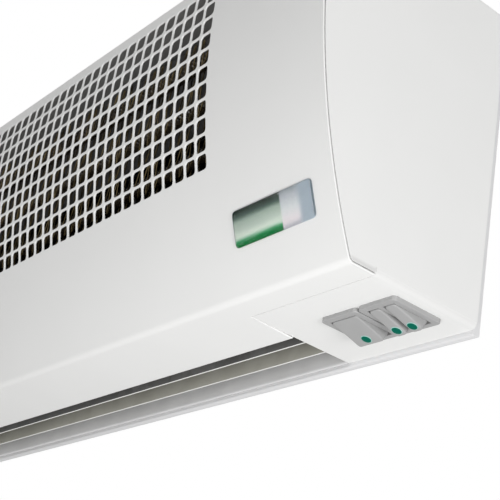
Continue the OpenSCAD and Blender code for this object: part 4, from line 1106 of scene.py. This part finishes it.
add_stops(green_field.color_ramp, (
    (0.0, "005A26"), (0.1, "007A36"), (0.16, "3C9C68"), (0.22, "B0CBB7"), (0.29, "D6E2D5"),
    (0.42, "BACABD"), (0.66, "9CAEA1"), (0.78, "4C6358"), (0.88, "1E3028"), (1.0, "18241F"),
))
silver_left = put(tree, "ValToRGB", {"Fac": fade})
add_stops(silver_left.color_ramp, (
    (0.0, "A8A9B2"), (0.18, "E2DCDF"), (0.5, "D4D9DA"), (0.8, "B5BBC1"), (1.0, "8E959B"),
))
sideways = put(tree, "MapRange", {"Value": across, "From Min": PLAIN_FROM[0], "From Max": PLAIN_FROM[1]})
silver = {AMOUNT: sideways.outputs["Result"], UNDER: silver_left.outputs["Color"], OVER: colour("9FACB7")}
silver_field = put(tree, "Mix", silver, data_type="RGBA").outputs[BLEND]
right_side = put(tree, "Math", {0: across, 1: FIELD_EDGE}, operation="GREATER_THAN").outputs["Value"]
both = {AMOUNT: right_side, UNDER: green_field.outputs["Color"], OVER: silver_field}
fields = put(tree, "Mix", both, data_type="RGBA").outputs[BLEND]
from_middle = put(tree, "Math", {0: across}, operation="ABSOLUTE").outputs["Value"]
near_end = put(tree, "Math", {0: from_middle, 1: END_LINE}, operation="GREATER_THAN").outputs["Value"]
darker = put(tree, "Mix", {AMOUNT: 0.6, UNDER: fields, OVER: colour("303C3E")}, data_type="RGBA")
lined = {AMOUNT: near_end, UNDER: fields, OVER: darker.outputs[BLEND]}
tree.links.new(put(tree, "Mix", lined, data_type="RGBA").outputs[BLEND], shader.inputs["Base Color"])
print(badge_print.name)

# %% [markdown]
# The plate is a small rounded rectangle, and the resin on it stands up like a drop that stopped at
# the rim. Rings that shrink towards the middle, each a little higher, draw that drop.

# %% Badge
plate_loops = []
for level, inset in ((0.02, 0.15), (0.15, 0.0), (0.6, 0.0), (0.75, 0.08), (0.8, 0.25)):
    outline = rounded(BADGE_W - 2 * inset, BADGE_H - 2 * inset, BADGE_CORNER - inset)
    plate_loops.append([on_badge(a, b, level) for a, b in outline])
plate = make_piece("badge_foil", *stacked(plate_loops), badge_print, "badge_print", ["badge_plate"], edge=0)
drop_loops = []
drop_steps = ((0.82, 0.3), (1.0, 0.32), (1.2, 0.5), (1.38, 0.9), (1.52, 1.6), (1.62, 2.8), (1.68, 4.5),
              (1.7, 7.5))
for level, inset in drop_steps:
    outline = rounded(BADGE_W - 2 * inset, BADGE_H - 2 * inset, max(BADGE_CORNER - 0.3 * inset, 0.8))
    drop_loops.append([on_badge(a, b, level) for a, b in outline])
drop = make_piece("badge_resin_drop", *stacked(drop_loops), clear_resin, "badge_resin",
                  ["badge_dome"], edge=0)
shown(plate)
shown(drop)

# %% [markdown]
# Eight pan-head screws hold the cover from above. A screw head is a low dome with a cross recess:
# the dome is spun, and the recess is cut out of it with one cross-shaped prism. Two crossed bars
# would overlap, and a boolean can fail with a cutter that runs through itself. The heights of the
# screw are counted from the top sheet.

# %% Cover screws
def cross_prism(x, y, arm, half, low, high):
    """An upright prism with a cross for its outline."""
    quarter = [(half, half), (half, arm), (-half, arm)]
    outline = quarter + [(-v, u) for u, v in quarter]
    outline += [(-u, -v) for u, v in outline]
    return stacked([[(x + u, y + v, z) for u, v in outline] for z in (low, high)])


SCREW_X, SCREW_Y, SIDES = (HALF - 6.5, 219.7), (-31.0, -89.0), 32
RECESS_ARM, RECESS_HALF, RECESS_FROM, RECESS_TO = 1.9, 0.4, 1.2, 4.0
dome = [(0.0, 4.0), (0.9, 4.0), (1.6, 3.7), (2.1, 3.0), (2.35, 1.8), (2.4, 0.02)]
profile = dome + [(-3.0, 0.02), (-3.0, 2.0), (0.0, 2.0)]
count = len(profile)
screw_turns = [2 * pi * k / SIDES for k in range(SIDES)]
screw_faces = [((k + 1) % SIDES * count + m, (k + 1) % SIDES * count + (m + 1) % count,
                k * count + (m + 1) % count, k * count + m) for k in range(SIDES) for m in range(count)]
screw_parts, recesses = [], []
for x, y in [(hand * x, y) for hand in (-1, 1) for x in SCREW_X for y in SCREW_Y]:
    points = [(x + r * cos(turn), y + r * sin(turn), HEIGHT + rise)
              for turn in screw_turns for rise, r in profile]
    screw_parts.append((points, screw_faces))
    recesses.append(cross_prism(x, y, RECESS_ARM, RECESS_HALF, HEIGHT + RECESS_FROM, HEIGHT + RECESS_TO))
screws = make_piece("cover_pan_screws", *join_parts(*screw_parts), plated, "screw_steel",
                    ["cover_screws"], edge=0)
cut(screws, recesses)
shown(screws)

# %% [markdown]
# The set is plain. A pale floor lies 2.2 m below the machine, as under a real doorway, so that a
# camera that looks up stays above it. It glows a little to the camera and in reflections, which
# keeps it pale, but adds no light to the machine by that.

# %% Floor
def looked_at(tree):
    """1 for a ray that comes from the camera, a gloss or a clear piece, and 0 for one that carries light."""
    rays = put(tree, "LightPath").outputs
    looked = rays["Is Camera Ray"]
    for kind in ("Is Glossy Ray", "Is Transmission Ray"):
        looked = put(tree, "Math", {0: looked, 1: rays[kind]}, operation="MAXIMUM").outputs["Value"]
    return looked


floor_mesh = bpy.data.meshes.new("floor")
FLOOR_Z, FLOOR_HALF = -2.2, 60.0
corners = [(x * FLOOR_HALF, y * FLOOR_HALF, FLOOR_Z) for x, y in ((-1, -1), (1, -1), (1, 1), (-1, 1))]
floor_mesh.from_pydata(corners, [], [(0, 1, 2, 3)])
floor = bpy.data.objects.new("floor", floor_mesh)
bpy.context.scene.collection.objects.link(floor)
floor_finish, tree, shader, place = new_finish("painted_concrete_floor", Roughness=0.7)
patches = put(tree, "TexNoise", {"Vector": place, "Scale": per_mm(900), "Detail": 3.0}).outputs["Fac"]
tones = {AMOUNT: patches, UNDER: colour("EDEDEC"), OVER: colour("F2F2F1")}
tree.links.new(put(tree, "Mix", tones, data_type="RGBA").outputs[BLEND], shader.inputs["Base Color"])
seen = put(tree, "Math", {0: looked_at(tree), 1: 0.5}, operation="MULTIPLY").outputs["Value"]
shader.inputs["Emission Color"].default_value = (1, 1, 1, 1)
tree.links.new(seen, shader.inputs["Emission Strength"])
floor_mesh.materials.append(floor_finish)
print("floor at", FLOOR_Z, "m")

# %% [markdown]
# The surroundings are white to the camera and in reflections, as in a bright room, and a third as
# strong as a source of light, which keeps folded edges from flaring.

# %% Surroundings
world = bpy.data.worlds.new("studio")
bpy.context.scene.world = world
world.use_nodes = True
tree = world.node_tree
WORLD_LEVEL = 0.33
brightness = {"Value": looked_at(tree), "To Min": WORLD_LEVEL, "To Max": 1.0}
light_level = put(tree, "MapRange", brightness).outputs["Result"]
background = tree.nodes["Background"]
background.inputs["Color"].default_value = (1, 1, 1, 1)
tree.links.new(light_level, background.inputs["Strength"])
print("surroundings give", WORLD_LEVEL, "of white as light")

# %% [markdown]
# Lamps model the rest of the shape. Many places were first tried alone. Light adds up, so a
# least-squares sum over the trial pictures then chose lamps and powers that bring the casing close
# to the tones of the photograph: one low beside the switch end, and a small one near the badge. A
# third stands behind and above, for the faces that the photograph doesn't show.

# %% Lamps
def lamp(name, place, aim, size, power):
    data = bpy.data.lights.new(name, "AREA")
    data.shape = "DISK"
    data.size = size
    data.energy = power
    made = bpy.data.objects.new(name, data)
    bpy.context.scene.collection.objects.link(made)
    made.location = place
    made.rotation_euler = (Vector(place) - Vector(aim)).to_track_quat("Z", "Y").to_euler()
    made.visible_camera = False
    return made


LAMPS = (
    ("side_lamp", (1.9, -0.3, -0.6), 0.7, 17.0),
    ("near_lamp", (0.45, -0.5, -0.6), 0.4, 3.4),
    ("back_lamp", (-0.9, 1.2, 1.1), 0.8, 18.0),
)
LAMP_AIM = (0.2, -0.06, 0.06)
for name, place, size, power in LAMPS:
    lamp(name, place, LAMP_AIM, size, power)
print(len(LAMPS), "lamps")

# %% [markdown]
# At the end, the view transform is set to Standard.

# %% Set the view transform
bpy.context.scene.view_settings.view_transform = "Standard"
